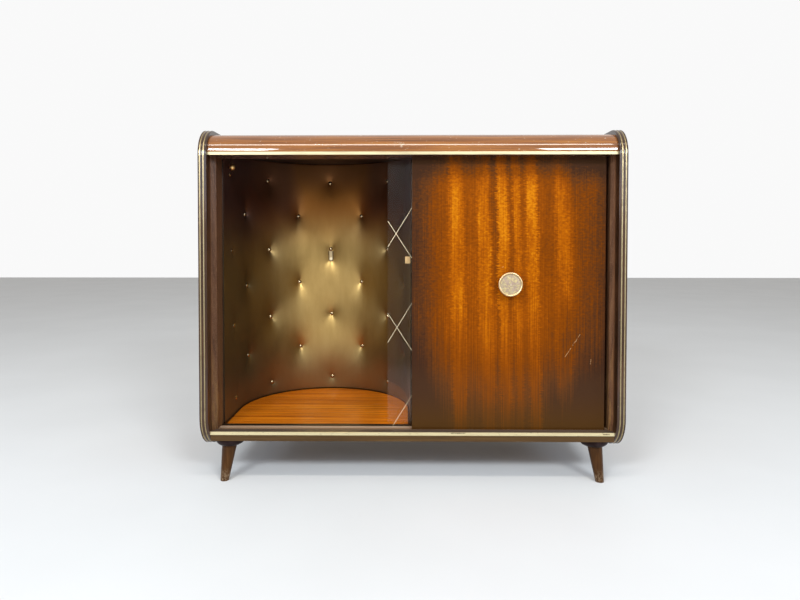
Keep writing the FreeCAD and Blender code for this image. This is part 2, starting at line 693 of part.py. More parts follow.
def padding_buttons():
    """Domed nails in rows, every other row moved by half the pitch."""
    pitch, radius = size("button_pitch"), size("button_radius")
    face = size("niche_radius")
    sphere = size("button_sphere")
    dome = Part.makeSphere(sphere)
    dome.translate(FreeCAD.Vector(0, 0, size("button_rise") - sphere))
    upper_half = Part.makeCylinder(2 * radius, radius)
    button = dome.common(upper_half)
    half_length = math.pi / 2 * face + size("niche_center_y") - size("niche_face")
    columns = int(half_length // pitch) + 1
    solids = []
    for row in range(int(size("button_rows"))):
        height = size("floor_level + button_first_row") + row * size("button_row_pitch")
        front_edge = size("niche_face") + size("slope") * (height - size("floor_level"))
        shift = 0 if row % 2 == 0 else pitch / 2
        for column in range(-columns, columns + 1):
            distance = size("button_offset") + shift + column * pitch
            point, inward = on_padding(distance, height, face)
            if point.y < front_edge + 2 * radius:
                continue
            copy = button.copy()
            copy.Placement = FreeCAD.Placement(point, FreeCAD.Rotation(UP, inward))
            solids.append(copy)
    feature = document.addObject("Part::Feature", "padding_buttons")
    feature.Shape = Part.makeCompound(solids)
    subpart(feature, "padding_buttons")


def wall_tab():
    """A brass tongue that hangs under the middle button of one row."""
    row = size("floor_level + button_first_row + tab_row * button_row_pitch")
    top = row - size("button_radius")
    point, inward = on_padding(size("button_offset"), top, size("niche_radius"))
    width, length = size("tab_width"), size("tab_length")
    thickness = size("tab_thickness")
    tongue = Part.makeBox(width, thickness, length - width / 2)
    tongue.translate(FreeCAD.Vector(-width / 2, 0, width / 2 - length))
    end = Part.makeCylinder(width / 2, thickness, FreeCAD.Vector(0, 0, width / 2 - length), BACK)
    feature = document.addObject("Part::Feature", "wall_tab")
    feature.Shape = tongue.fuse(end).removeSplitter()
    sagitta = size("niche_radius") - math.sqrt(size("niche_radius") ** 2 - (width / 2) ** 2)
    seat = point + inward * (thickness + sagitta + size("tab_gap"))
    feature.Placement = FreeCAD.Placement(seat, FreeCAD.Rotation(BACK, inward * -1))
    subpart(feature, "wall_tab")


def ceiling_peg():
    """A pin under the ceiling with a bead at its end."""
    corners = [
        ("0", "0"),
        ("peg_radius", "0"),
        ("peg_radius", "sqrt(bead_radius * bead_radius - peg_radius * peg_radius) - peg_length"),
        ("bead_radius", "-peg_length"),
        ("0", "-peg_length - bead_radius"),
    ]
    body = turned("ceiling_peg", corners, {2: "bead_radius", 3: "bead_radius"})
    place(body, "peg_inset - inner_half", "front + peg_setback", "ceiling_level")
    subpart(body, "ceiling_peg")


def niche():
    barrel("barrel_shell", "shell_outer", "shell_inner", "panel_level", "ceiling_level")
    barrel("barrel_padding", "shell_inner - soft_clearance", "niche_radius",
           "panel_level + soft_clearance", "ceiling_level - soft_clearance")
    niche_floor()
    padding_buttons()
    wall_tab()
    ceiling_peg()


# ---- doors --------------------------------------------------------------------------------

def leaning_panel(name, width, thickness, arris, label, left, face):
    """A door drawn upright from its lower left front corner, with its front edges rounded."""
    corners = [("0", "door_foot"), (width, "door_foot"), (width, "door_foot + door_length"),
               ("0", "door_foot + door_length")]
    body = padded(name, "XZ_Plane", corners, thickness, offset=f"-({thickness})")
    rounded(body, UP, lambda middle: middle.y < TOLERANCE, arris)
    place(body, left, face, "floor_level", lean=True)
    return subpart(body, label)


def doors():
    leaning_panel("wood_door", "door_width", "door_thickness", "door_arris", "wood_door",
                  "door_left", "door_face")
    leaning_panel("glass_door", "glass_width", "glass_thickness", "glass_arris", "glass_door",
                  "glass_left", "glass_face")


def on_door(body):
    """Stands a turned piece on the face of the wooden door, its axis square to the door."""
    bind(body, Placement_Base_x="knob_right", Placement_Base_y="knob_y",
         Placement_Base_z="knob_height")
    body.Placement.Rotation.Axis = RIGHT
    bind(body, Placement_Rotation_Angle="90 - front_lean")
    return subpart(body, body.Name)


def knob():
    neck_end = "knob_foot_thickness + knob_neck_length"
    foot = turned("knob_foot", [
        ("knob_screw_radius", "0"),
        ("knob_foot_radius", "0"),
        ("knob_neck_radius", "knob_foot_rise"),
        ("knob_neck_radius", neck_end),
        ("knob_screw_radius", neck_end),
    ])
    seat = f"{neck_end} + knob_seat"
    rim_top = "knob_reach"
    rim = turned("knob_rim", [
        ("knob_screw_radius", neck_end),
        ("knob_radius - knob_rim_rear_round", neck_end),
        ("knob_radius", f"{neck_end} + knob_rim_rear_round"),
        ("knob_radius", f"{rim_top} - knob_rim_round"),
        ("knob_radius - knob_rim_round", rim_top),
        ("knob_face_radius", f"{rim_top} - knob_face_sink / 2"),
        ("knob_face_radius", seat),
        ("knob_screw_radius", seat),
    ], {1: "-knob_rim_rear_round", 3: "-knob_rim_round"})
    face = turned("knob_face", [
        ("0", seat),
        ("knob_face_radius", seat),
        ("knob_face_radius", f"{rim_top} - knob_face_sink"),
        ("0", f"{rim_top} - knob_face_sink + knob_face_crown"),
    ])
    screw_end = "-door_thickness - knob_screw_head_height"
    screw = turned("knob_screw", [
        ("0", screw_end),
        ("knob_screw_head", screw_end),
        ("knob_screw_head", "-door_thickness"),
        ("knob_screw_radius", "-door_thickness"),
        ("knob_screw_radius", seat),
        ("0", seat),
    ])
    for piece in (foot, rim, face, screw):
        on_door(piece)


def glass_pull():
    local_height = "pull_rise / cos(front_lean)"
    corners = [("0", local_height), ("pull_width", local_height),
               ("pull_width", f"{local_height} + pull_height"),
               ("0", f"{local_height} + pull_height")]
    body = padded("glass_pull", "XZ_Plane", corners, "pull_thickness")
    place(body, "glass_left + pull_inset", "glass_face", "floor_level", lean=True)
    subpart(body, "glass_pull")


# ---- fold-down shelf ------------------------------------------------------------------------

def shelf():
    subpart(box("fold_shelf", "shelf_left", "shelf_face", "shelf_height + joint_gap",
                "shelf_width", "shelf_thickness", "shelf_reach"), "fold_shelf")
    subpart(box("shelf_batten", "partition_right", "shelf_face",
                "shelf_height - joint_gap - batten_height", "inner_half - partition_right",
                "panel_back - shelf_face", "batten_height"), "shelf_batten")
    cleat_top = "shelf_height + hinge_knuckle - cleat_gap"
    for label, left in (("shelf_cleat_left", "partition_right"),
                        ("shelf_cleat_right", "inner_half - cleat_width")):
        subpart(box(label, left, "hinge_axis_y - joint_gap - shelf_reach",
                    f"{cleat_top} - cleat_height", "cleat_width", "cleat_length",
                    "cleat_height"), label)


def knuckle(start, end):
    """One knuckle of the hinge, bored for the pin."""
    base = FreeCAD.Vector(start, size("hinge_axis_y"), size("shelf_height"))
    tube = Part.makeCylinder(size("hinge_knuckle"), end - start, base, RIGHT)
    bore = size("hinge_pin_radius + hinge_play")
    return tube.cut(Part.makeCylinder(bore, end - start, base, RIGHT))


def hinge_leaf(label, direction, parity):
    """A leaf of the hinge: a plate above or below the axis and every other knuckle."""
    start = size("shelf_left + hinge_inset")
    end = size("shelf_left + shelf_width - hinge_inset")
    count = max(int((end - start) // size("hinge_knuckle_length")), 3)
    pitch = (end - start) / count
    gap = size("hinge_knuckle_gap") / 2
    axis_y, axis_z = size("hinge_axis_y"), size("shelf_height")
    plate, reach = size("hinge_plate"), size("hinge_leaf_height")
    plate_front = size("shelf_face") - plate
    clear = size("hinge_knuckle") + 2 * gap
    low = axis_z + clear if direction > 0 else axis_z - reach
    leaf = Part.makeBox(end - start, plate, reach - clear,
                        FreeCAD.Vector(start, plate_front, low))
    for number in range(parity, count, 2):
        left = start + number * pitch + gap
        right = start + (number + 1) * pitch - gap
        foot = axis_z if direction > 0 else axis_z - clear
        web = Part.makeBox(right - left, plate, clear, FreeCAD.Vector(left, plate_front, foot))
        axis = FreeCAD.Vector(left, axis_y, axis_z)
        bore = Part.makeCylinder(size("hinge_pin_radius + hinge_play"), right - left, axis, RIGHT)
        leaf = leaf.fuse(web.cut(bore)).fuse(knuckle(left, right))
    feature = document.addObject("Part::Feature", label)
    feature.Shape = leaf.removeSplitter()
    return subpart(feature, label)


def hinge_pin():
    thing = document.addObject("Part::Cylinder", "hinge_pin")
    bind(thing, Radius="hinge_pin_radius", Height="shelf_width - 2 * hinge_inset")
    thing.Placement.Rotation = FreeCAD.Rotation(UP, RIGHT)
    place(thing, "shelf_left + hinge_inset", "hinge_axis_y", "shelf_height")
    subpart(thing, "hinge_pin")


def hinge_screws(label, height):
    """Round-headed screws through one leaf of the hinge."""
    front = size("shelf_face - hinge_plate")
    first = size("shelf_left + hinge_inset + screw_end_inset")
    pitch = size("(shelf_width - 2 * hinge_inset - 2 * screw_end_inset) / (screws_per_leaf - 1)")
    solids = []
    for number in range(int(size("screws_per_leaf"))):
        seat = FreeCAD.Vector(first + number * pitch, front, size(height))
        shank = Part.makeCylinder(size("screw_radius"), size("screw_length"), seat, BACK)
        head = Part.makeCone(size("screw_head_radius"), size("screw_crown_radius"),
                             size("screw_head_height"), seat, BACK * -1)
        solids.append(shank.fuse(head))
    feature = document.addObject("Part::Feature", label)
    feature.Shape = Part.makeCompound(solids)
    subpart(feature, label)


def shelf_hinge():
    hinge_leaf("hinge_leaf_fixed", -1, 0)
    hinge_leaf("hinge_leaf_moving", 1, 1)
    hinge_pin()
    hinge_screws("hinge_screws_fixed", "shelf_height - screw_rise")
    hinge_screws("hinge_screws_moving", "shelf_height + screw_rise")


# ---- base -----------------------------------------------------------------------------------

LEG_PLACES = [("front_left", -1, -1), ("front_right", 1, -1), ("rear_left", -1, 1),
              ("rear_right", 1, 1)]


def leg(name, side, end):
    """A tapered leg whose flat ends stay level: a ruled loft between two circles."""
    body = new_body(f"leg_{name}")
    top_x = f"{side} * (collar_right + leg_lead)"
    top_y = f"{end} * (depth / 2 - collar_setback)"
    rings = []
    for level, x, y, height, radius in (
            ("foot", f"{top_x} + {side} * leg_splay_side", f"{top_y} + {end} * leg_splay_front",
             "0", "leg_foot_radius"),
            ("head", top_x, top_y, "leg_height", "leg_top_radius")):
        sketch = body.newObject("Sketcher::SketchObject", f"leg_{name}_{level}")
        sketch.AttachmentSupport = (origin_plane(body, "XY_Plane"), [""])
        sketch.MapMode = "FlatFace"
        bind(sketch, AttachmentOffset_Base_x=x, AttachmentOffset_Base_y=y,
             AttachmentOffset_Base_z=height)
        sketch.addGeometry(Part.Circle(FreeCAD.Vector(0, 0, 0), UP, size(radius)), False)
        sketch.addConstraint(Sketcher.Constraint("Coincident", 0, 3, -1, 1))
        number = sketch.addConstraint(Sketcher.Constraint("Radius", 0, size(radius)))
        sketch.setExpression(f"Constraints[{number}]", linked(radius))
        rings.append(sketch)
    loft = body.newObject("PartDesign::AdditiveLoft", f"leg_{name}_loft")
    loft.Profile = rings[0]
    loft.Sections = [rings[1]]
    loft.Ruled = True
    document.recompute()
    return subpart(body, f"leg_{name}")


def collar(name, side, end):
    """A domed disc between the bottom panel and the leg, bored for the bolt."""
    hole = "bolt_radius + bolt_play"
    dome = "collar_height - collar_edge"
    run = "(collar_radius - collar_seat)"
    radius = f"({run} * {run} + ({dome}) * ({dome})) / (2 * {run})"
    body = turned(f"collar_{name}", [
        (hole, "0"),
        ("collar_radius", "0"),
        ("collar_radius", "-collar_edge"),
        ("collar_seat", "-collar_height"),
        (hole, "-collar_height"),
    ], {2: f"({radius})"})
    place(body, f"{side} * collar_right", f"{end} * (depth / 2 - collar_setback)",
          "bottom_level")
    return subpart(body, f"collar_{name}")


def leg_bolts():
    """Hanger bolts, each half in a leg and half in the cabinet's bottom."""
    bolts = []
    for name, side, end in LEG_PLACES:
        bolts.append(upright_cylinder(
            f"bolt_{name}", f"{side} * collar_right", f"{end} * (depth / 2 - collar_setback)",
            "bottom_level + bolt_rise - bolt_length", "bolt_radius", "bolt_length"))
    group = document.addObject("Part::Compound", "leg_bolts")
    group.Links = bolts
    subpart(group, "leg_bolts")


def base():
    for name, side, end in LEG_PLACES:
        leg(name, side, end)
        collar(name, side, end)
    leg_bolts()


# ---- back panel nails -----------------------------------------------------------------------

def back_nails():
    """Nails along the upper and the lower edge of the back panel."""
    half = size("inner_half")
    count = max(int(2 * half // size("nail_pitch")), 2)
    pitch = 2 * (half - 2 * size("nail_inset")) / count
    levels = (size("bottom_level") + size("nail_inset"), size("top_level") - size("nail_inset"))
    solids = []
    for level in levels:
        for number in range(count + 1):
            point = FreeCAD.Vector(2 * size("nail_inset") - half + number * pitch,
                                   size("board_face"), level)
            head = Part.makeCylinder(size("nail_head_radius"), size("nail_head"), point, BACK)
            shank = Part.makeCylinder(size("nail_radius"), size("nail_length"), point, BACK * -1)
            solids.append(head.fuse(shank))
    feature = document.addObject("Part::Feature", "back_nails")
    feature.Shape = Part.makeCompound(solids)
    subpart(feature, "back_nails")


# ---- building and export ----------------------------------------------------------------------

def check_document():
    """Stops if any object failed or any sub-part has no valid solid."""
    document.recompute()
    for item in document.Objects:
        if "Invalid" in item.State or "Error" in item.State:
            raise RuntimeError(f"{item.Name} failed: {item.State}")
    for item in SUBPARTS:
        shape = item.Shape
        if shape.isNull() or not shape.isValid() or not shape.Solids:
            raise RuntimeError(f"{item.Label} has no valid solid")


def export():
    os.makedirs("parts", exist_ok=True)
    for item in SUBPARTS:
        item.Shape.exportStep(f"parts/{item.Label}.step")
        print(f"{item.Label:26s} solids {len(item.Shape.Solids):3d} volume {item.Shape.Volume:12.1f}")


sides()
carcass()
stile("stile_left", "-inner_half", "opening_left")
stile("stile_right", "inner_half", "opening_right")
partition()
niche()
doors()
knob()
glass_pull()
shelf()
shelf_hinge()
base()
back_nails()
check_document()
export()
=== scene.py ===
import json
import math

import bpy
import numpy as np
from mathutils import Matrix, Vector

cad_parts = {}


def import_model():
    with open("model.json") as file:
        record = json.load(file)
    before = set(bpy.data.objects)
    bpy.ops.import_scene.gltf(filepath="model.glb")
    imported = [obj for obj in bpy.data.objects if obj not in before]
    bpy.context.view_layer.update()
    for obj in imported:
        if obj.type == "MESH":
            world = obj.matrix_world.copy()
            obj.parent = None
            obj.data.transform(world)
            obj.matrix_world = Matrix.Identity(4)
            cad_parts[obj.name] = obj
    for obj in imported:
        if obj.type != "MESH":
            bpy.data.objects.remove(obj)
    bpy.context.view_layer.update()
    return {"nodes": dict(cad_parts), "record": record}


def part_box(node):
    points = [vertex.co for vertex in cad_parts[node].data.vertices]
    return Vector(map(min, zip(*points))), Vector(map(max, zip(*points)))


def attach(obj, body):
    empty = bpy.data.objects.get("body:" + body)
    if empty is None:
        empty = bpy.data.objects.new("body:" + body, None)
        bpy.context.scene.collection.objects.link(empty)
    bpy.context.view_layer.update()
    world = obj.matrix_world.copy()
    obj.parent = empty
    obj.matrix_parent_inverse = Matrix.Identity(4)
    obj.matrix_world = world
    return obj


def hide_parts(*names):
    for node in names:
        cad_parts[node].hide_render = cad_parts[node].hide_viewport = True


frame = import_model()
NODES = frame["nodes"]

# ---- sizes repeated from the solids, in metres --------------------------------------------

FLOOR_LEVEL = 0.105
CEILING_LEVEL = 0.660
RAIL_UNDERSIDE = 0.641
RAIL_BACK = -0.074
SLOPE = math.tan(math.radians(4.5))
NICHE_X = -0.19225
NICHE_Y = -0.0155
NICHE_RADIUS = 0.190
NICHE_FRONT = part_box("barrel_padding")[0].y
PADDING_BACK = 0.1957
DOOR_MIDDLE = 0.19025
GLASS_FACE = -0.13373
GLASS_LEFT, GLASS_RIGHT = -0.0485, 0.3515
BUTTON_OFFSET = -0.005
BUTTON_PITCH = 0.156
BUTTON_ROWS = [0.135 + 0.080 * row for row in range(7)]
TABBED = (BUTTON_OFFSET, BUTTON_ROWS[4])
TAB_DROP = 0.025
PEG_BEAD_TOP = CEILING_LEVEL - 0.0278
STRIP_FRONT = -0.1775
KNOB_MIDDLE = (DOOR_MIDDLE + 0.0015, FLOOR_LEVEL + 0.286)
SILL_LIP = -0.1560
DOOR_GROOVE = (-0.160, -0.140)
GLASS_GROOVE = -0.1352

# ---- materials, node by node -------------------------------------------------------------------

SOCKETS = {
    "color": "Base Color", "metallic": "Metallic", "rough": "Roughness", "ior": "IOR",
    "coat": "Coat Weight", "coat_rough": "Coat Roughness", "coat_ior": "Coat IOR",
    "transmission": "Transmission Weight", "specular": "Specular IOR Level",
    "tint": "Specular Tint", "normal": "Normal", "alpha": "Alpha",
}


def rgba(color):
    return (*color, 1.0) if len(color) == 3 else color


class Shade:
    """A material built up one node at a time; what adds nodes returns an output socket."""

    def __init__(self, name, **values):
        self.material = bpy.data.materials.new(name)
        self.material.use_nodes = True
        self.tree = self.material.node_tree
        self.bsdf = self.tree.nodes["Principled BSDF"]
        self.place = self.tree.nodes.new("ShaderNodeTexCoord").outputs["Object"]
        self.set(**values)

    def set(self, **values):
        for key, value in values.items():
            self.feed(self.bsdf.inputs[SOCKETS[key]], value)
        return self

    def feed(self, socket, value):
        if isinstance(value, bpy.types.NodeSocket):
            self.tree.links.new(value, socket)
        elif hasattr(value, "__len__") and socket.type == "RGBA":
            socket.default_value = rgba(value)
        else:
            socket.default_value = value

    def add(self, kind, inputs, out=0, **settings):
        node = self.tree.nodes.new("ShaderNode" + kind)
        for key, value in settings.items():
            setattr(node, key, value)
        for socket, value in inputs.items():
            self.feed(node.inputs[socket], value)
        return node.outputs[out]

    def noise(self, stretch, detail=3.0, rough=0.5, distort=0.0, shift=(0.0, 0.0, 0.0)):
        place = self.add("Mapping", {"Vector": self.place, "Location": shift,
                                     "Scale": stretch})
        return self.add("TexNoise", {"Vector": place, "Scale": 1.0, "Detail": detail,
                                     "Roughness": rough, "Distortion": distort})

    def math(self, kind, a, b=0.0, clamp=False):
        return self.add("Math", {0: a, 1: b}, operation=kind, use_clamp=clamp)

    def span(self, value, low, high, to_low=0.0, to_high=1.0):
        """Maps low..high smoothly to to_low..to_high, and stays there beyond."""
        return self.add("MapRange", {"Value": value, "From Min": low, "From Max": high,
                                     "To Min": to_low, "To Max": to_high},
                        interpolation_type="SMOOTHSTEP")

    def mix(self, share, a, b, kind="MIX"):
        return self.add("Mix", {0: share, 6: a, 7: b}, 2, data_type="RGBA", blend_type=kind,
                        clamp_factor=True)

    def ramp(self, value, stops):
        node = self.tree.nodes.new("ShaderNodeValToRGB")
        self.feed(node.inputs[0], value)
        elements = node.color_ramp.elements
        while len(elements) < len(stops):
            elements.new(0.5)
        for element, (at, color) in zip(elements, stops):
            element.position = at
            element.color = rgba(color)
        return node.outputs[0]

    def axis(self, name):
        return self.add("SeparateXYZ", {0: self.place}, "XYZ".index(name))

    def bump(self, height, depth, strength=1.0):
        return self.add("Bump", {"Height": height, "Distance": depth, "Strength": strength})

    def near_segment(self, start, end, width, soft=0.5):
        """1 within soft * width of the segment from start to end, fading to 0 at width."""
        start, end = Vector(start), Vector(end)
        run = end - start
        offset = self.add("VectorMath", {0: self.place, 1: start}, operation="SUBTRACT")
        along = self.add("VectorMath", {0: offset, 1: run / run.length_squared}, 1,
                         operation="DOT_PRODUCT")
        along = self.math("MAXIMUM", self.math("MINIMUM", along, 1.0), 0.0)
        foot = self.add("VectorMath", {0: run, "Scale": along}, operation="SCALE")
        gap = self.add("VectorMath", {0: offset, 1: foot}, 1, operation="DISTANCE")
        return self.span(gap, width * soft, width, 1.0, 0.0)

    def flat_mark(self, start, end, width, soft=0.5):
        """near_segment, measured only in X and Z, which start and end give."""
        kept = self.place
        self.place = self.add("VectorMath", {0: kept, 1: (1.0, 0.0, 1.0)},
                              operation="MULTIPLY")
        mark = self.near_segment((start[0], 0.0, start[1]), (end[0], 0.0, end[1]), width, soft)
        self.place = kept
        return mark


# ---- woods ----------------------------------------------------------------------------------

def grain(shade, along, tones, broad=26.0, fine=240.0, contrast=1.0, distort=0.35, run=14.0):
    """Veneer colour: broad stripes, fine lines and dark pores that run along one axis."""
    def stretch(rate, ratio):
        return tuple(rate / ratio if "XYZ"[number] == along else rate for number in range(3))

    stripes = shade.noise(stretch(broad, run), 4.0, 0.55, distort)
    lines = shade.noise(stretch(fine, run * 3), 3.0, 0.6)
    mixed = shade.math("ADD", shade.math("MULTIPLY", stripes, 0.62),
                       shade.math("MULTIPLY", lines, 0.38))
    dark, middle, light = tones
    spread = 0.17 / contrast
    color = shade.ramp(mixed, [(0.5 - spread, dark), (0.5, middle), (0.5 + spread, light)])
    pores = shade.noise(stretch(900.0, 40.0), 2.0, 0.5)
    shares = shade.span(pores, 0.60, 0.72)
    color = shade.mix(shade.math("MULTIPLY", shares, 0.45), color, dark)
    return color, shares


def wood(name, along, tones, rough=0.42, coat=0.0, coat_rough=0.08, specular=0.25, **kind):
    """A finished wood with its grain in the colour, the gloss and a very fine relief."""
    shade = Shade(name, coat=coat, coat_rough=coat_rough, specular=specular,
                  tint=(1.0, 0.75, 0.5))
    color, pores = grain(shade, along, tones, **kind)
    shade.set(color=color, rough=shade.math("ADD", rough, shade.math("MULTIPLY", pores, 0.12)),
              normal=shade.bump(pores, -0.00004))
    shade.tone = color
    return shade


# the pale ribbons of the door's veneer: middle and width as shares of its width, and level
RIBBONS = [(0.225, 0.075, 0.88), (0.364, 0.075, 0.86), (0.462, 0.062, 0.90),
           (0.536, 0.040, 0.84), (0.612, 0.060, 0.90), (0.772, 0.080, 0.76)]
RIBBON_GROUND = 0.55
# where two leaves of the veneer meet, in metres from the door's left edge
VENEER_JOIN = 0.1640
# the darker places beside and between them, and painted shade at the door's two edges: share of
# the door's width, and level
DARK_FIGURE_AND_EDGE_SHADE = [(0.000, 0.06), (0.120, 0.40), (0.417, 0.46), (0.690, 0.48), (0.845, 0.44),
           (0.940, 0.32), (1.000, 0.08)]


def ribbon_stops():
    """A ramp across the door: painted shade at the edges, an even ground and the pale ribbons on
    it.
    """
    levels = list(DARK_FIGURE_AND_EDGE_SHADE)
    for middle, width, peak in RIBBONS:
        levels += [(middle - 0.60 * width, RIBBON_GROUND), (middle - 0.35 * width, peak),
                   (middle + 0.35 * width, peak), (middle + 0.60 * width, RIBBON_GROUND)]
    return [(at, (level, level, level)) for at, level in sorted(levels)]


# scratches in the door's lacquer: start and end in X and Z, and half their width
SCRATCHES = [((0.302, 0.249), (0.331, 0.293), 0.0007), ((0.318, 0.274), (0.324, 0.281), 0.0010),
             ((0.352, 0.235), (0.353, 0.244), 0.0009), ((0.208, 0.388), (0.209, 0.392), 0.0010),
             ((0.176, 0.424), (0.180, 0.426), 0.0008)]


def door_level(shade):
    """How pale the door's veneer is, from 0 to 1, with painted shade at its edges, head and foot.
    """
    x, z = shade.axis("X"), shade.axis("Z")
    jags = shade.noise((80.0, 1.0, 480.0), 2.0, 0.7)
    waves = shade.noise((9.0, 1.0, 7.0), 3.0, 0.5, shift=(4.0, 0.0, 1.0))
    lean = shade.math("MULTIPLY", shade.math("SUBTRACT", 0.60, z), 0.026)
    drift = shade.math("ADD", shade.math("MULTIPLY", shade.math("SUBTRACT", jags, 0.5), 0.026),
                       shade.math("MULTIPLY", shade.math("SUBTRACT", waves, 0.5), 0.012))
    across = shade.math("SUBTRACT", shade.math("ADD", x, drift), lean)
    level = shade.ramp(shade.math("DIVIDE", across, 2 * DOOR_MIDDLE), ribbon_stops())
    fade = shade.span(shade.noise((12.0, 1.0, 4.0), 3.0, 0.6, shift=(5.1, 0.0, 3.3)), 0.32, 0.60,
                      0.35, 1.0)
    fade = shade.math("MULTIPLY", fade, shade.span(z, 0.20, 0.50, 0.70, 1.0))
    # painted shade: where the ribbons fade, pale in the middle and darker towards both edges
    broad = shade.span(shade.math("ABSOLUTE", shade.math("SUBTRACT", x, 0.154)), 0.078, 0.158,
                       0.63, 0.15)
    level = shade.math("ADD", shade.math("MULTIPLY", level, fade),
                       shade.math("MULTIPLY", broad, shade.math("SUBTRACT", 1.0, fade)))
    threads = shade.noise((620.0, 1.0, 5.0), 3.0, 0.6)
    threaded = shade.span(z, 0.30, 0.45, 0.80, 0.55)
    join = shade.span(shade.math("ABSOLUTE", shade.math("SUBTRACT", across, VENEER_JOIN)),
                      0.0006, 0.0040, -0.22, 0.0)
    level = shade.math("ADD", level, shade.math("MULTIPLY", join, shade.span(z, 0.22, 0.34)))
    flecks = shade.noise((150.0, 1.0, 260.0), 2.0, 0.6)
    clouds = shade.noise((26.0, 1.0, 9.0), 4.0, 0.6, 0.4, shift=(1.3, 0.0, 2.2))
    grainy = shade.span(z, 0.12, 0.45, 0.12, 0.60)
    for kind, share in ((threads, threaded), (flecks, grainy), (clouds, 0.34)):
        level = shade.math("ADD", level, shade.math("MULTIPLY",
                                                    shade.math("SUBTRACT", kind, 0.5), share))
    # painted shade: darker towards the door's foot and its head
    foot = shade.span(z, 0.085, 0.330, -0.52, 0.0)
    head = shade.span(z, 0.655, 0.575, -0.52, 0.0)
    return shade.math("ADD", level, shade.math("ADD", foot, head), clamp=True)


def door_veneer():
    """Ribbon-stripe veneer: jagged vertical ribbons, with painted shade towards the edges, the
    head and the foot.
    """
    shade = Shade("door_veneer", rough=0.09, specular=0.26, tint=(1.0, 0.55, 0.20))
    color = shade.ramp(door_level(shade), [
        (0.00, (0.036, 0.014, 0.008)), (0.22, (0.082, 0.024, 0.006)),
        (0.45, (0.158, 0.034, 0.001)), (0.66, (0.242, 0.051, 0.001)),
        (0.84, (0.375, 0.090, 0.001)), (1.00, (0.540, 0.172, 0.003))])
    # painted shade and reflection: dark olive low down
    olive = shade.span(shade.axis("Z"), 0.080, 0.190, 0.75, 0.0)
    color = shade.mix(olive, color, (0.062, 0.024, 0.002))
    scratches = 0.0
    for start, end, width in SCRATCHES:
        scratches = shade.math("MAXIMUM", scratches, shade.flat_mark(start, end, width))
    ragged = shade.span(shade.noise((300.0, 1.0, 300.0), 2.0, 0.5), 0.40, 0.55)
    scratches = shade.math("MULTIPLY", scratches, ragged)
    color = shade.mix(shade.math("MULTIPLY", scratches, 0.55), color, (0.60, 0.34, 0.15))
    ripple = shade.noise((14.0, 1.0, 14.0), 2.0, 0.5)
    shade.set(color=color, normal=shade.bump(ripple, 0.0004, 0.5))
    return shade


def rail_wood():
    """Orange-brown lacquered rail: rubbed, chipped and crazed in places, with painted shade on
    its underside.
    """
    shade = wood("rail_wood", "X", ((0.090, 0.024, 0.003), (0.232, 0.072, 0.008),
                                    (0.365, 0.132, 0.016)),
                 rough=0.34, coat=1.0, coat_rough=0.04, specular=0.05, broad=150.0,
                 fine=620.0, run=30.0, contrast=0.9)
    rub = shade.near_segment((-0.021, -0.139, 0.657), (-0.012, -0.138, 0.668), 0.004, 0.1)
    ragged = shade.noise((900.0, 900.0, 900.0), 3.0, 0.7)
    rub = shade.math("MULTIPLY", rub, shade.span(ragged, 0.42, 0.60))
    chip = shade.near_segment((0.319, -0.128, 0.675), (0.322, -0.128, 0.6755), 0.0022, 0.3)
    nick = shade.near_segment((-0.105, -0.118, 0.679), (-0.098, -0.117, 0.680), 0.0012, 0.3)
    specks = shade.span(shade.noise((300.0, 420.0, 420.0), 2.0, 0.5, shift=(0.7, 0.0, 0.0)),
                        0.705, 0.745)
    crazed = shade.math("MULTIPLY",
                        shade.near_segment((-0.050, -0.137, 0.671), (-0.018, -0.139, 0.664),
                                           0.006, 0.4),
                        shade.span(shade.noise((520.0, 520.0, 520.0), 3.0, 0.6), 0.50, 0.58))
    bare = shade.math("MAXIMUM", rub, shade.math("MAXIMUM", chip, nick))
    bare = shade.math("MAXIMUM", bare, shade.math("MAXIMUM", specks, crazed))
    color = shade.mix(shade.math("MULTIPLY", bare, 0.75), shade.tone, (0.72, 0.62, 0.46))
    # painted shade: the rail's underside darker
    under = shade.math("LESS_THAN", shade.axis("Z"), RAIL_UNDERSIDE + 0.002)
    shade.set(coat_ior=1.64, color=shade.mix(shade.math("MULTIPLY", under, 0.8), color,
                                             (0.085, 0.048, 0.042)))
    return shade


def stile_wood():
    """Reddish stile, rubbed to ochre low down; painted shade makes the left stile darker."""
    shade = wood("stile_wood", "Z", ((0.055, 0.022, 0.011), (0.122, 0.050, 0.023),
                                     (0.185, 0.085, 0.038)),
                 rough=0.46, coat=0.12, coat_rough=0.2, specular=0.15, broad=180.0, fine=700.0,
                 run=22.0)
    worn = shade.math("MULTIPLY", shade.span(shade.axis("Z"), 0.33, 0.12),
                      shade.span(shade.noise((160.0, 160.0, 22.0), 4.0, 0.65), 0.42, 0.62))
    color = shade.mix(shade.math("MULTIPLY", worn, 0.7), shade.tone, (0.300, 0.150, 0.045))
    # painted shade: the left stile darker than the right
    left = shade.math("LESS_THAN", shade.axis("X"), 0.0)
    color = shade.mix(shade.math("MULTIPLY", left, 0.35), color, (0.030, 0.010, 0.005))
    stipple = shade.noise((700.0, 700.0, 420.0), 3.0, 0.7)
    color = shade.mix(shade.span(stipple, 0.52, 0.70, 0.0, 0.45), color, (0.330, 0.190, 0.110))
    shade.set(color=color)
    return shade


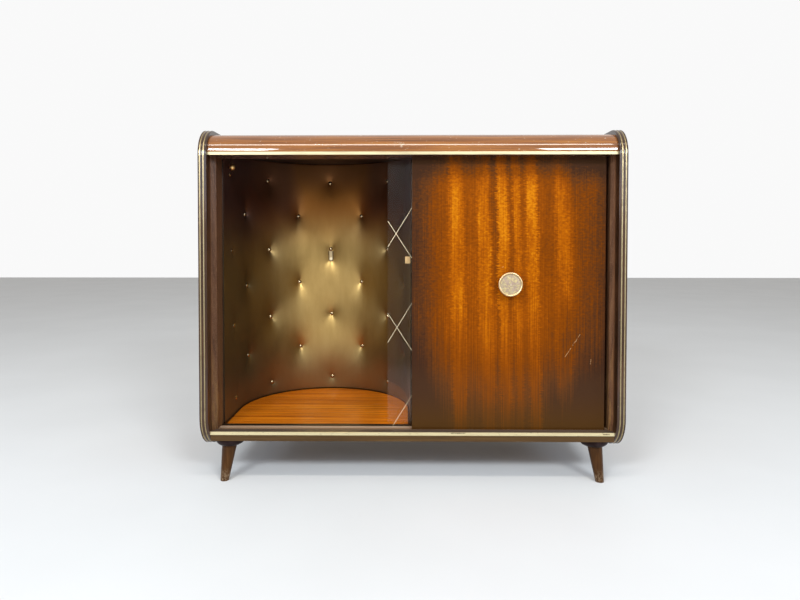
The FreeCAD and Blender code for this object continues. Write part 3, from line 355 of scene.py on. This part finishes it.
def reeded_wood():
    """The dark lacquered beads of the sides' edges."""
    shade = Shade("reeded_wood", coat=0.6, coat_rough=0.06, specular=0.15)
    lines = shade.noise((900.0, 16.0, 16.0), 3.0, 0.6)
    cloud = shade.noise((30.0, 12.0, 12.0), 3.0, 0.5)
    value = shade.math("ADD", shade.math("MULTIPLY", lines, 0.55),
                       shade.math("MULTIPLY", cloud, 0.45))
    color = shade.ramp(value, [(0.34, (0.021, 0.009, 0.004)), (0.50, (0.042, 0.017, 0.007)),
                               (0.66, (0.080, 0.032, 0.013))])
    specks = shade.span(shade.noise((700.0, 700.0, 240.0), 2.0, 0.6), 0.69, 0.76)
    color = shade.mix(shade.math("MULTIPLY", specks, 0.6), color, (0.42, 0.26, 0.15))
    shade.set(color=color, rough=0.32, normal=shade.bump(lines, 0.00003))
    return shade


# X between which the floor's colour turns brighter: painted light behind the glass, as the
# photo's view shows it
PAINTED_LIGHT_SPAN = (-0.085, -0.050)


def niche_floor_veneer():
    """Orange floor with straight dark lines, painted shade at the padding, painted light behind
    the glass.
    """
    shade = wood("floor_veneer", "X", ((0.330, 0.070, 0.004), (0.640, 0.165, 0.006),
                                       (0.800, 0.270, 0.014)),
                 rough=0.24, specular=0.05, broad=150.0, fine=600.0, run=60.0, distort=0.1)
    lines = shade.noise((2.6, 210.0, 210.0), 4.0, 0.75, shift=(0.0, 1.7, 0.0))
    dark_lines = shade.math("MULTIPLY", shade.span(lines, 0.52, 0.60), 0.80)
    color = shade.mix(dark_lines, shade.tone, (0.190, 0.038, 0.003))
    x = shade.math("SUBTRACT", shade.axis("X"), NICHE_X)
    y = shade.math("MAXIMUM", shade.math("SUBTRACT", shade.axis("Y"), NICHE_Y), 0.0)
    reach = shade.math("SQRT", shade.math("ADD", shade.math("MULTIPLY", x, x),
                                          shade.math("MULTIPLY", y, y)))
    # painted shade: a dark line on the floor along the padding's foot
    rim = shade.span(reach, NICHE_RADIUS - 0.0065, NICHE_RADIUS - 0.0040)
    # painted light: the floor 1.32 times brighter behind the glass
    painted_light_behind_glass = shade.span(shade.axis("X"), *PAINTED_LIGHT_SPAN)
    color = shade.mix(painted_light_behind_glass, color, (1.32, 1.30, 1.30), "MULTIPLY")
    color = shade.mix(shade.math("MULTIPLY", rim, 0.92), color, (0.022, 0.010, 0.005))
    shade.set(color=color)
    return shade


def sill_wood():
    """Brown sill, dark on its lip: dust and painted sheen on top, painted light in the door's
    groove, nearly black painted shade from the glass inwards.
    """
    shade = wood("sill_wood", "X", ((0.042, 0.021, 0.007), (0.074, 0.037, 0.012),
                                    (0.115, 0.062, 0.021)),
                 rough=0.40, coat=0.1, coat_rough=0.16, broad=130.0, fine=520.0, run=26.0)
    y, z = shade.axis("Y"), shade.axis("Z")
    top = shade.math("GREATER_THAN", z, FLOOR_LEVEL - 0.0003)
    dust_and_sheen_top = shade.math("MULTIPLY", top, shade.math("LESS_THAN", y, GLASS_GROOVE))
    below = shade.math("SUBTRACT", 1.0, top)
    lip = shade.math("MULTIPLY", top, shade.math("LESS_THAN", y, SILL_LIP))
    painted_shade_beside_glass = shade.math("GREATER_THAN", y, GLASS_GROOVE)
    behind_lip = shade.math("GREATER_THAN", y, DOOR_GROOVE[0])
    before_glass = shade.math("LESS_THAN", y, DOOR_GROOVE[1])
    painted_light_groove = shade.math("MULTIPLY", behind_lip, shade.math("MULTIPLY", below, before_glass))
    dust = shade.noise((22.0, 240.0, 60.0), 4.0, 0.7)
    pale = shade.mix(shade.span(dust, 0.40, 0.70), (0.480, 0.290, 0.175), (0.560, 0.420, 0.310))
    # dust and painted sheen: the top in front of the glass's groove paler
    color = shade.mix(shade.math("MULTIPLY", dust_and_sheen_top, 0.85), shade.tone, pale)
    # painted light: the inside of the door's groove paler brown
    color = shade.mix(shade.math("MULTIPLY", painted_light_groove, 0.9), color, (0.250, 0.145, 0.078))
    color = shade.mix(shade.math("MULTIPLY", lip, 0.90), color, (0.050, 0.034, 0.026))
    # painted shade: nearly black from the glass's groove inwards
    color = shade.mix(shade.math("MULTIPLY", painted_shade_beside_glass, 0.93), color, (0.012, 0.007, 0.005))
    shade.set(color=color)
    return shade


def leg_wood():
    """Dark legs, scuffed to bare wood near the floor."""
    shade = wood("leg_wood", "Z", ((0.026, 0.009, 0.003), (0.056, 0.021, 0.006),
                                   (0.092, 0.037, 0.011)),
                 rough=0.38, coat=0.05, coat_rough=0.14, specular=0.14, broad=140.0, fine=600.0,
                 run=18.0)
    scuffs = shade.noise((240.0, 240.0, 120.0), 5.0, 0.75, 1.2)
    low = shade.span(shade.axis("Z"), 0.030, 0.004)
    worn = shade.math("MULTIPLY", shade.span(scuffs, 0.48, 0.60), low)
    shade.set(color=shade.mix(shade.math("MULTIPLY", worn, 0.7), shade.tone,
                              (0.42, 0.30, 0.18)),
              rough=shade.math("ADD", 0.36, shade.math("MULTIPLY", worn, 0.4)))
    return shade


# ---- metals, glass, knob, padding --------------------------------------------------------------

def metal(name, color, dull, rough, marks, stretch=(60.0, 60.0, 60.0)):
    """Aged metal: dull clouds, fine rubbing marks and small dark spots."""
    shade = Shade(name, metallic=1.0)
    cloud = shade.noise(stretch, 5.0, 0.65)
    spots = shade.span(shade.noise((750.0, 750.0, 750.0), 2.0, 0.5), 0.66, 0.74)
    tone = shade.mix(shade.math("MULTIPLY", shade.span(cloud, 0.42, 0.68), marks), color, dull)
    tone = shade.mix(shade.math("MULTIPLY", spots, 0.5), tone, dull)
    rub = shade.noise((900.0, 900.0, 900.0), 2.0, 0.5)
    shade.set(color=tone, rough=shade.span(cloud, 0.35, 0.70, rough, rough + 0.16),
              normal=shade.bump(rub, 0.00002))
    shade.tone = tone
    return shade


def strip_brass():
    """Pale strips with a few dark rubbed dashes on the sill."""
    shade = metal("brass_strip", (0.80, 0.685, 0.41), (0.46, 0.36, 0.20), 0.32, 0.30,
                  (14.0, 160.0, 160.0))
    on_sill = shade.math("LESS_THAN", shade.axis("Z"), 0.2)
    dashes = shade.span(shade.noise((150.0, 1.0, 700.0), 2.0, 0.5, shift=(0.0, 0.0, 0.4)),
                        0.64, 0.70)
    worn = shade.math("MULTIPLY", shade.math("MULTIPLY", dashes, on_sill), 0.5)
    right_rub = shade.near_segment((0.3715, STRIP_FRONT, 0.1030), (0.3830, STRIP_FRONT, 0.1030),
                                   0.0014, 0.6)
    middle_rub = shade.near_segment((0.0765, STRIP_FRONT, 0.1045), (0.1030, STRIP_FRONT, 0.1045),
                                    0.0012, 0.6)
    ragged = shade.span(shade.noise((600.0, 1.0, 900.0), 2.0, 0.5), 0.36, 0.52)
    rubs = shade.math("MULTIPLY", shade.math("MAXIMUM", right_rub, middle_rub), ragged)
    tone = shade.mix(shade.math("MAXIMUM", worn, rubs), shade.tone, (0.16, 0.11, 0.06))
    shade.set(color=tone)
    return shade


def tab_brass():
    """The tab under one button: dark along its rim, bright at its end."""
    shade = metal("tab_brass", (0.58, 0.44, 0.25), (0.42, 0.29, 0.15), 0.28, 0.4,
                  (40.0, 40.0, 20.0))
    x, button = NICHE_X + TABBED[0], TABBED[1]
    top, end = button - 0.004, button - 0.0245
    body = shade.flat_mark((x, top), (x, end), 0.0052)
    color = shade.mix(body, (0.075, 0.045, 0.022), shade.tone)
    tip = shade.flat_mark((x, end), (x, end + 0.0005), 0.0048)
    shade.set(color=shade.mix(tip, color, (0.90, 0.74, 0.48)))
    return shade


def knob_pearl():
    """Disc mottled in gold, lilac and moss under clear lacquer, dark at its rim."""
    shade = Shade("knob_pearl", rough=0.34, coat=1.0, coat_rough=0.04)
    cloud = shade.noise((210.0, 210.0, 210.0), 5.0, 0.62, 0.9, shift=(0.3, 0.0, 1.9))
    color = shade.ramp(cloud, [(0.34, (0.300, 0.190, 0.140)), (0.44, (0.370, 0.250, 0.180)),
                               (0.52, (0.440, 0.340, 0.170)), (0.60, (0.600, 0.450, 0.190)),
                               (0.70, (0.680, 0.580, 0.340))])
    lilac = shade.span(shade.noise((120.0, 120.0, 120.0), 3.0, 0.6, shift=(2.0, 0.0, 0.7)),
                       0.50, 0.66, 0.0, 0.60)
    color = shade.mix(lilac, color, (0.430, 0.300, 0.230))
    moss = shade.span(shade.noise((160.0, 160.0, 160.0), 3.0, 0.6, shift=(5.0, 0.0, 3.1)),
                      0.54, 0.68, 0.0, 0.50)
    color = shade.mix(moss, color, (0.440, 0.430, 0.230))
    veins = shade.span(shade.noise((420.0, 420.0, 420.0), 3.0, 0.6), 0.36, 0.48, 1.0, 0.0)
    color = shade.mix(shade.math("MULTIPLY", veins, 0.45), color, (0.330, 0.220, 0.150))
    x, z = KNOB_MIDDLE
    inner = shade.flat_mark((x, z), (x, z + 0.0001), 0.0203, 0.93)
    color = shade.mix(inner, (0.240, 0.170, 0.090), color)
    shade.set(color=color, metallic=0.25, normal=shade.bump(cloud, 0.0002))
    return shade


def clear_glass():
    """Clear glass with faint smears, partly see-through so that what is behind stays light."""
    shade = Shade("clear_glass", color=(0.965, 0.980, 0.975), transmission=1.0, ior=1.75,
                  alpha=0.18)
    smears = shade.noise((22.0, 1.0, 7.0), 5.0, 0.6, 1.0)
    shade.set(rough=shade.span(smears, 0.50, 0.80, 0.0, 0.06))
    return shade


def peg_metal():
    """Brass bead on a wire that has gone brown."""
    shade = metal("peg_bead", (0.82, 0.52, 0.20), (0.45, 0.26, 0.10), 0.36, 0.3)
    wire = shade.span(shade.axis("Z"), PEG_BEAD_TOP, PEG_BEAD_TOP + 0.001)
    shade.set(color=shade.mix(wire, shade.tone, (0.060, 0.034, 0.018)))
    return shade


def gold_vinyl():
    """Satin antique-gold vinyl; painted shade, brown towards the top and both sides, olive low
    down.
    """
    shade = Shade("gold_vinyl", metallic=0.92, specular=0.3)
    cloud = shade.noise((7.0, 7.0, 4.0), 5.0, 0.6, 0.6)
    fine = shade.noise((70.0, 70.0, 18.0), 4.0, 0.6)
    value = shade.math("ADD", shade.math("MULTIPLY", cloud, 0.7),
                       shade.math("MULTIPLY", fine, 0.3))
    color = shade.ramp(value, [(0.30, (0.395, 0.246, 0.078)), (0.50, (0.485, 0.312, 0.106)),
                               (0.70, (0.550, 0.370, 0.136))])
    height = shade.axis("Z")
    # painted reflection: orange-brown high up
    high = shade.span(height, 0.44, 0.57)
    color = shade.mix(shade.math("MULTIPLY", high, 0.90), color, (0.310, 0.108, 0.019))
    aside = shade.math("ABSOLUTE", shade.math("SUBTRACT", shade.axis("X"), NICHE_X))
    # painted shade: darker towards both sides, the top and the ceiling
    painted_shade = shade.math("ADD", shade.span(aside, 0.075, 0.160, 0.0, 0.62),
                       shade.span(aside, 0.145, 0.190, 0.0, 0.24))
    painted_top_shade = shade.math("MULTIPLY", shade.span(aside, 0.055, 0.110),
                           shade.span(height, 0.46, 0.57, 0.0, 0.55))
    painted_shade = shade.math("MAXIMUM", shade.math("MAXIMUM", painted_shade, painted_top_shade),
                       shade.span(height, 0.585, 0.640, 0.0, 0.25))
    painted_shade_tone = shade.mix(shade.span(height, 0.40, 0.56), (0.105, 0.074, 0.036),
                     (0.105, 0.058, 0.056))
    color = shade.mix(painted_shade, color, painted_shade_tone)
    # painted shade: olive grey low down
    foot = shade.span(height, 0.260, 0.130, 0.0, 0.55)
    color = shade.mix(foot, color, (0.140, 0.125, 0.078))
    upright = shade.math("SUBTRACT", shade.axis("Y"),
                         shade.math("MULTIPLY", shade.axis("Z"), SLOPE))
    front = NICHE_FRONT - SLOPE * FLOOR_LEVEL
    # painted shade: nearly black along the front edge
    edge = shade.span(upright, front + 0.0006, front + 0.0030, 1.0, 0.0)
    color = shade.mix(shade.math("MULTIPLY", edge, 0.92), color, (0.012, 0.007, 0.004))
    grainy = shade.noise((1300.0, 1300.0, 1300.0), 2.0, 0.5)
    # the metallic share falls low down and near the ceiling: a painted change in the reflection
    # there
    shade.set(color=color, rough=shade.span(value, 0.35, 0.65, 0.37, 0.42),
              metallic=shade.math("MULTIPLY", shade.span(height, 0.12, 0.26, 0.84, 0.92),
                                  shade.span(height, 0.57, 0.63, 1.0, 0.75)),
              normal=shade.bump(grainy, 0.00003, 0.2))
    return shade


def collar_black():
    """Warm black plastic, clouded a little paler."""
    shade = Shade("collar_black", specular=0.12, tint=(1.0, 0.62, 0.52))
    cloud = shade.noise((60.0, 60.0, 60.0), 4.0, 0.6)
    color = shade.mix(shade.span(cloud, 0.4, 0.7), (0.010, 0.005, 0.005),
                      (0.021, 0.0125, 0.0125))
    shade.set(color=color, rough=shade.span(cloud, 0.35, 0.7, 0.34, 0.49))
    return shade


# ---- the padding -------------------------------------------------------------------------------

QUARTER_TURN = math.pi / 2 * NICHE_RADIUS
BUTTON_SEAT, TAB_SEAT = 0.0045, 0.0070
# how far the padding swells if nothing settles it, and the most it may swell
CROWN, MOST_CROWN = 0.0110, 0.0125
# clearance to the floor, the ceiling and the front
PLAY = 0.0004
SHEET_COLUMNS, SHEET_ROWS = 250, 170
CLOTH_STEPS = 12


def seat(button):
    """Radius within which a button, or the tab and its button, holds the padding down."""
    return TAB_SEAT if button == TABBED else BUTTON_SEAT


def button_places():
    """Distance along the padding and height of every button of the solid."""
    places = []
    for row, height in enumerate(BUTTON_ROWS):
        shift = 0.0 if row % 2 == 0 else BUTTON_PITCH / 2
        front = NICHE_FRONT + SLOPE * (height - FLOOR_LEVEL)
        for column in range(-3, 4):
            distance = BUTTON_OFFSET + shift + column * BUTTON_PITCH
            straight = max(abs(distance) - QUARTER_TURN, 0.0)
            if NICHE_Y - straight > front - 0.02:
                places.append((distance, height))
    return places


def off_button(distance, height, button):
    """Distance to the middle of a button, or of the tab that hangs from it."""
    above = height - button[1]
    if button == TABBED:
        above = above + np.clip(-above, 0, TAB_DROP)
    return np.hypot(distance - button[0], above)


def crown(distance, height, length):
    """How far the face stands in front of the buttons' seats if nothing settles it."""
    gap = np.full_like(distance, 1.0)
    for button in button_places():
        gap = np.minimum(gap, off_button(distance, height, button) - seat(button))
    gap = np.maximum(gap, 0)
    pull = 0.35 * np.exp(-gap / 0.008) + 0.65 * np.exp(-gap / 0.030)
    above, below = height - FLOOR_LEVEL, CEILING_LEVEL - height
    hem = ((1 - 0.3 * np.exp(-above / 0.0025)) * (1 - np.exp(-below / 0.014))
           * (1 - np.exp(-(length - np.abs(distance)) / 0.032)))
    return CROWN * (1 - pull) * hem


def held_points(distance, height):
    """The grid's points that are nailed: its rim, and those under the buttons and the tab."""
    held = np.zeros(distance.shape, bool)
    held[[0, -1]] = held[:, [0, -1]] = True
    for button in button_places():
        held |= off_button(distance, height, button) < seat(button)
    return held


def settled(face, held):
    """The face after a cloth simulation: a taut skin with air behind it, nailed where held."""
    rows, columns = held.shape
    corner = np.arange(rows * columns).reshape(rows, columns)
    faces = np.stack([corner[:-1, :-1], corner[:-1, 1:], corner[1:, 1:], corner[1:, :-1]],
                     axis=-1).reshape(-1, 4)
    sheet = mesh_piece("sheet", face.reshape(-1, 3), faces.tolist())
    sheet.vertex_groups.new(name="held").add(np.flatnonzero(held).tolist(), 1.0, "REPLACE")
    cloth = sheet.modifiers.new("cloth", "CLOTH")
    cloth.collision_settings.use_collision = False
    settings = cloth.settings
    settings.vertex_group_mass = "held"
    settings.effector_weights.gravity = 0
    settings.air_damping = 3.0
    settings.tension_stiffness = settings.compression_stiffness = 15.0
    settings.shear_stiffness = 5.0
    settings.bending_stiffness = 0.8
    settings.shrink_min = 0.04
    settings.use_pressure = True
    settings.uniform_pressure_force = 6.0
    scene = bpy.context.scene
    for step in range(1, CLOTH_STEPS + 1):
        scene.frame_set(step)
    shape = sheet.evaluated_get(bpy.context.evaluated_depsgraph_get()).data
    found = np.empty(face.size, np.float32)
    shape.vertices.foreach_get("co", found)
    bpy.data.meshes.remove(sheet.data)
    scene.frame_set(1)
    found = found.astype(float).reshape(face.shape)
    # the crown stays within what the padding may swell, and off the floor and the ceiling
    aside, behind = found[..., 0] - NICHE_X, np.maximum(found[..., 1] - NICHE_Y, 0)
    reach = np.hypot(aside, behind)
    kept = np.clip(reach, NICHE_RADIUS - MOST_CROWN, NICHE_RADIUS) / reach
    found[..., 0] = NICHE_X + aside * kept
    found[..., 1] = np.where(behind > 0, NICHE_Y + behind * kept, found[..., 1])
    found[..., 2] = np.clip(found[..., 2], FLOOR_LEVEL + PLAY, CEILING_LEVEL - PLAY)
    return found


def padding():
    """The tufted lining: one closed skin, nailed at every button and swollen between them."""
    columns, rows = SHEET_COLUMNS, SHEET_ROWS
    heights = np.linspace(FLOOR_LEVEL + PLAY, CEILING_LEVEL - PLAY, rows + 1)
    front = NICHE_FRONT + SLOPE * (heights - FLOOR_LEVEL)
    front = np.where(heights > RAIL_UNDERSIDE, np.maximum(front, RAIL_BACK), front) + PLAY
    length = QUARTER_TURN + NICHE_Y - front
    share = np.linspace(-1, 1, columns + 1)
    distance = share[None, :] * length[:, None]
    height = np.repeat(heights[:, None], columns + 1, axis=1)
    proud = crown(distance, height, length[:, None])

    def placed(depth):
        """The grid at a depth from the barrel's axis, with its two ends straight."""
        angle = np.clip(distance, -QUARTER_TURN, QUARTER_TURN) / NICHE_RADIUS
        straight = np.maximum(np.abs(distance) - QUARTER_TURN, 0)
        return np.stack([NICHE_X + np.sin(angle) * depth,
                         NICHE_Y + np.cos(angle) * depth - straight, height], axis=-1)

    face = settled(placed(NICHE_RADIUS - 0.25 * proud), held_points(distance, height))
    rear = placed(np.full_like(proud, PADDING_BACK))
    points = np.concatenate([face.reshape(-1, 3), rear.reshape(-1, 3)])
    count = (rows + 1) * (columns + 1)

    def at(row, column, side=0):
        return side * count + row * (columns + 1) + column

    faces = []
    for row in range(rows):
        for column in range(columns):
            ring = [at(row, column), at(row, column + 1), at(row + 1, column + 1),
                    at(row + 1, column)]
            faces.append(ring)
            faces.append([index + count for index in reversed(ring)])
    for column in range(columns):
        faces.append([at(0, column + 1), at(0, column), at(0, column, 1), at(0, column + 1, 1)])
        faces.append([at(rows, column), at(rows, column + 1), at(rows, column + 1, 1),
                      at(rows, column, 1)])
    for row in range(rows):
        faces.append([at(row, 0), at(row + 1, 0), at(row + 1, 0, 1), at(row, 0, 1)])
        faces.append([at(row + 1, columns), at(row, columns), at(row, columns, 1),
                      at(row + 1, columns, 1)])
    return mesh_piece("tufted_padding", points, faces)


def mesh_piece(name, points, faces, smooth=True):
    mesh = bpy.data.meshes.new(name)
    mesh.from_pydata([tuple(point) for point in points], [], faces)
    mesh.validate()
    if smooth:
        mesh.shade_smooth()
    thing = bpy.data.objects.new(name, mesh)
    bpy.context.scene.collection.objects.link(thing)
    return thing


# ---- gilt lines on the glass -------------------------------------------------------------------

# X and Z of each line's left end, on the glass's edge or at the sill, and its slope in degrees
GILT_LINES = [(GLASS_LEFT, 0.5165, -56.9), (GLASS_LEFT, 0.4633, 58.2),
              (GLASS_LEFT, 0.3320, -56.9), (GLASS_LEFT, 0.2727, 58.2),
              (-0.0379, FLOOR_LEVEL, 58.2)]


def glass_point(x, z, proud):
    """A point in front of the leaning face of the glass."""
    return (x, GLASS_FACE + SLOPE * (z - FLOOR_LEVEL) - proud, z)


def gilt_lines():
    """Thin raised strips across the glass, from edge to edge between the sill and the rail."""
    half_width, thickness, sunk = 0.00032, 0.00012, 0.00001
    end_gap = 0.0008
    points, faces = [], []
    for x, z, angle in GILT_LINES:
        direction = np.array([math.cos(math.radians(angle)), math.sin(math.radians(angle))])
        limit = RAIL_UNDERSIDE if angle > 0 else FLOOR_LEVEL
        reach = min((GLASS_RIGHT - x) / direction[0], (limit - z) / direction[1])
        side = np.array([-direction[1], direction[0]]) * half_width
        start = np.array([x, z]) + direction * end_gap
        end = np.array([x, z]) + direction * (reach - end_gap)
        base = len(points)
        for proud in (-sunk, thickness):
            for corner in (start - side, end - side, end + side, start + side):
                points.append(glass_point(corner[0], corner[1], proud))
        ring = [base, base + 1, base + 2, base + 3]
        faces += [ring, [index + 4 for index in reversed(ring)]]
        faces += [[ring[k], ring[k] + 4, ring[(k + 1) % 4] + 4, ring[(k + 1) % 4]]
                  for k in range(4)]
    return mesh_piece("gilt_lines", points, faces, smooth=False)


# ---- the scene ---------------------------------------------------------------------------------

def camera():
    """At the photograph's viewing angle, fitted to the outline."""
    data = bpy.data.cameras.new("camera")
    data.lens = 27.0
    data.sensor_width = 36.0
    thing = bpy.data.objects.new("camera", data)
    thing.location = (-0.01099, -1.31178, 0.48210)
    thing.rotation_euler = (math.radians(90 - 5.905), 0, math.radians(0.6))
    bpy.context.scene.collection.objects.link(thing)
    bpy.context.scene.camera = thing


def soft_box(name, at, aim, size, power, color):
    """A lamp that faces the point aim high over the floor's middle."""
    data = bpy.data.lights.new(name, "AREA")
    data.shape = "RECTANGLE"
    data.size, data.size_y = size
    data.energy = power
    data.color = color
    thing = bpy.data.objects.new(name, data)
    thing.location = at
    towards = Vector((0.0, 0.0, aim)) - Vector(at)
    thing.rotation_euler = towards.to_track_quat("-Z", "Y").to_euler()
    bpy.context.scene.collection.objects.link(thing)


def lights():
    """Plain studio light from both sides in front, and a narrow lamp above for the rail."""
    daylight, sky, warm = (0.84, 0.92, 1.0), (0.66, 0.80, 1.0), (1.0, 0.96, 0.88)
    soft_box("window_left", (-1.45, -3.1, 2.30), 0.4, (0.9, 0.5), 60, daylight)
    soft_box("window_right", (1.45, -3.1, 2.30), 0.4, (0.9, 0.5), 60, daylight)
    soft_box("side_left", (-2.6, -1.9, 1.36), 0.5, (2.2, 0.6), 26, sky)
    soft_box("side_right", (2.6, -1.9, 1.36), 0.5, (2.2, 0.6), 26, sky)
    soft_box("ceiling", (0.0, -1.5, 2.7), 0.4, (2.4, 0.24), 24, warm)


def world():
    """Pale to the camera and in reflections, darker there low down in front; weak as light."""
    surroundings = bpy.data.worlds.new("world")
    bpy.context.scene.world = surroundings
    surroundings.use_nodes = True
    tree = surroundings.node_tree
    background = tree.nodes["Background"]

    def add(kind, inputs, **settings):
        node = tree.nodes.new("ShaderNode" + kind)
        for key, value in settings.items():
            setattr(node, key, value)
        for socket, value in inputs.items():
            if isinstance(value, bpy.types.NodeSocket):
                tree.links.new(value, node.inputs[socket])
            else:
                node.inputs[socket].default_value = value
        return node.outputs

    towards = add("SeparateXYZ", {0: add("TexCoord", {})["Generated"]})
    low = add("MapRange", {0: add("Math", {0: towards[2]}, operation="ABSOLUTE")[0],
                           1: 0.10, 2: 0.30, 3: 1.0, 4: 0.0}, interpolation_type="SMOOTHSTEP")[0]
    ahead = add("MapRange", {0: towards[1], 1: -0.30, 2: -0.75, 3: 0.0, 4: 1.0},
                interpolation_type="SMOOTHSTEP")[0]
    dim = add("Math", {0: low, 1: ahead}, operation="MULTIPLY")[0]
    mirrored = add("Math", {0: dim, 1: -0.42, 2: 0.95}, operation="MULTIPLY_ADD")[0]
    path = add("LightPath", {})
    sharp = add("Math", {0: path["Is Glossy Ray"], 1: path["Is Transmission Ray"]},
                operation="MAXIMUM")[0]
    soft = add("Mix", {0: sharp, 2: 0.42, 3: mirrored})[0]
    strength = add("Mix", {0: path["Is Camera Ray"], 2: soft, 3: 0.95})[0]
    tree.links.new(strength, background.inputs["Strength"])
    background.inputs["Color"].default_value = (1, 1, 1, 1)


def floor():
    """The pale floor of the stage."""
    mesh = bpy.data.meshes.new("floor")
    half = 6.0
    mesh.from_pydata([(-half, -half, 0), (half, -half, 0), (half, half, 0), (-half, half, 0)],
                     [], [(0, 1, 2, 3)])
    thing = bpy.data.objects.new("floor", mesh)
    bpy.context.scene.collection.objects.link(thing)
    shade = Shade("floor", rough=0.7)
    cloud = shade.noise((3.0, 3.0, 3.0), 3.0, 0.5)
    shade.set(color=shade.ramp(cloud, [(0.3, (0.79, 0.78, 0.76)), (0.7, (0.82, 0.81, 0.79))]))
    mesh.materials.append(shade.material)


def finishes():
    """One material for every slot of the record."""
    brown = ((0.090, 0.036, 0.016), (0.170, 0.072, 0.030), (0.250, 0.115, 0.050))
    orange = ((0.170, 0.055, 0.016), (0.330, 0.120, 0.030), (0.450, 0.190, 0.055))
    return {
        "side_veneer": wood("side_veneer", "Z", brown, rough=0.36, coat=0.6, coat_rough=0.07,
                            broad=34.0, fine=300.0, run=11.0),
        "reeded_wood": reeded_wood(),
        "brass_line": metal("brass_line", (0.40, 0.31, 0.17), (0.20, 0.14, 0.07), 0.34, 0.55,
                            (30.0, 30.0, 60.0)),
        "rail_wood": rail_wood(),
        "top_veneer": wood("top_veneer", "X", orange, rough=0.36, coat=1.0, coat_rough=0.06,
                           broad=34.0, fine=300.0, run=14.0),
        # the ceiling over the niche: a dark stain, taken to near black as painted shade
        "ceiling_stain": wood("ceiling_stain", "X", ((0.012, 0.007, 0.005),
                                                     (0.022, 0.012, 0.009),
                                                     (0.040, 0.022, 0.015)), rough=0.5),
        "sill_wood": sill_wood(),
        "brass_strip": strip_brass(),
        "bottom_wood": wood("bottom_wood", "X", ((0.085, 0.045, 0.024), (0.140, 0.080, 0.043),
                                                 (0.200, 0.120, 0.068)), rough=0.6),
        "back_board": wood("back_board", "X", ((0.160, 0.090, 0.045), (0.215, 0.125, 0.065),
                                               (0.270, 0.165, 0.090)), rough=0.62,
                           broad=60.0, fine=420.0, run=5.0, contrast=0.7),
        "stile_wood": stile_wood(),
        "inner_wood": wood("inner_wood", "Z", brown, rough=0.46, coat=0.3, coat_rough=0.2),
        "barrel_ply": wood("barrel_ply", "Z", ((0.300, 0.180, 0.090), (0.410, 0.260, 0.135),
                                               (0.500, 0.340, 0.190)), rough=0.6),
        "gold_vinyl": gold_vinyl(),
        "button_brass": metal("button_brass", (0.52, 0.40, 0.24), (0.12, 0.07, 0.03), 0.12, 0.6,
                              (300.0, 300.0, 300.0)),
        "tab_brass": tab_brass(),
        "peg_bead": peg_metal(),
        "floor_veneer": niche_floor_veneer(),
        "door_veneer": door_veneer(),
        "clear_glass": clear_glass(),
        "pull_brass": metal("pull_brass", (0.57, 0.38, 0.18), (0.42, 0.26, 0.12), 0.34, 0.4),
        "knob_gold": metal("knob_gold", (0.68, 0.48, 0.25), (0.42, 0.27, 0.12), 0.30, 0.4,
                           (90.0, 90.0, 90.0)),
        "knob_pearl": knob_pearl(),
        "steel": metal("steel", (0.56, 0.56, 0.57), (0.22, 0.20, 0.18), 0.30, 0.5),
        "hinge_brass": metal("hinge_brass", (0.74, 0.57, 0.30), (0.34, 0.22, 0.10), 0.28, 0.5),
        "shelf_wood": wood("shelf_wood", "X", orange, rough=0.40, coat=0.5, coat_rough=0.14,
                           broad=40.0, fine=320.0, run=14.0),
        "leg_wood": leg_wood(),
        "collar_black": collar_black(),
    }


def dress_solids(materials):
    """Gives every solid the material of its slot in the record."""
    for subpart in frame["record"]["subparts"]:
        mesh = NODES[subpart["node"]].data
        mesh.materials.clear()
        mesh.materials.append(materials[subpart["material_slot"]].material)


def pieces(materials):
    """The scene's own pieces: the padding as it really looks, and the gilt lines."""
    lining = padding()
    lining.data.materials.append(materials["gold_vinyl"].material)
    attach(lining, "cabinet")
    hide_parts("barrel_padding")
    gilt = gilt_lines()
    gold = metal("gilt", (1.0, 0.86, 0.58), (0.86, 0.68, 0.40), 0.45, 0.3,
                 (200.0, 200.0, 200.0))
    gilt.data.materials.append(gold.material)
    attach(gilt, "glass_door")


bpy.context.scene.view_settings.view_transform = "Standard"
camera()
lights()
world()
floor()
SHADES = finishes()
dress_solids(SHADES)
pieces(SHADES)
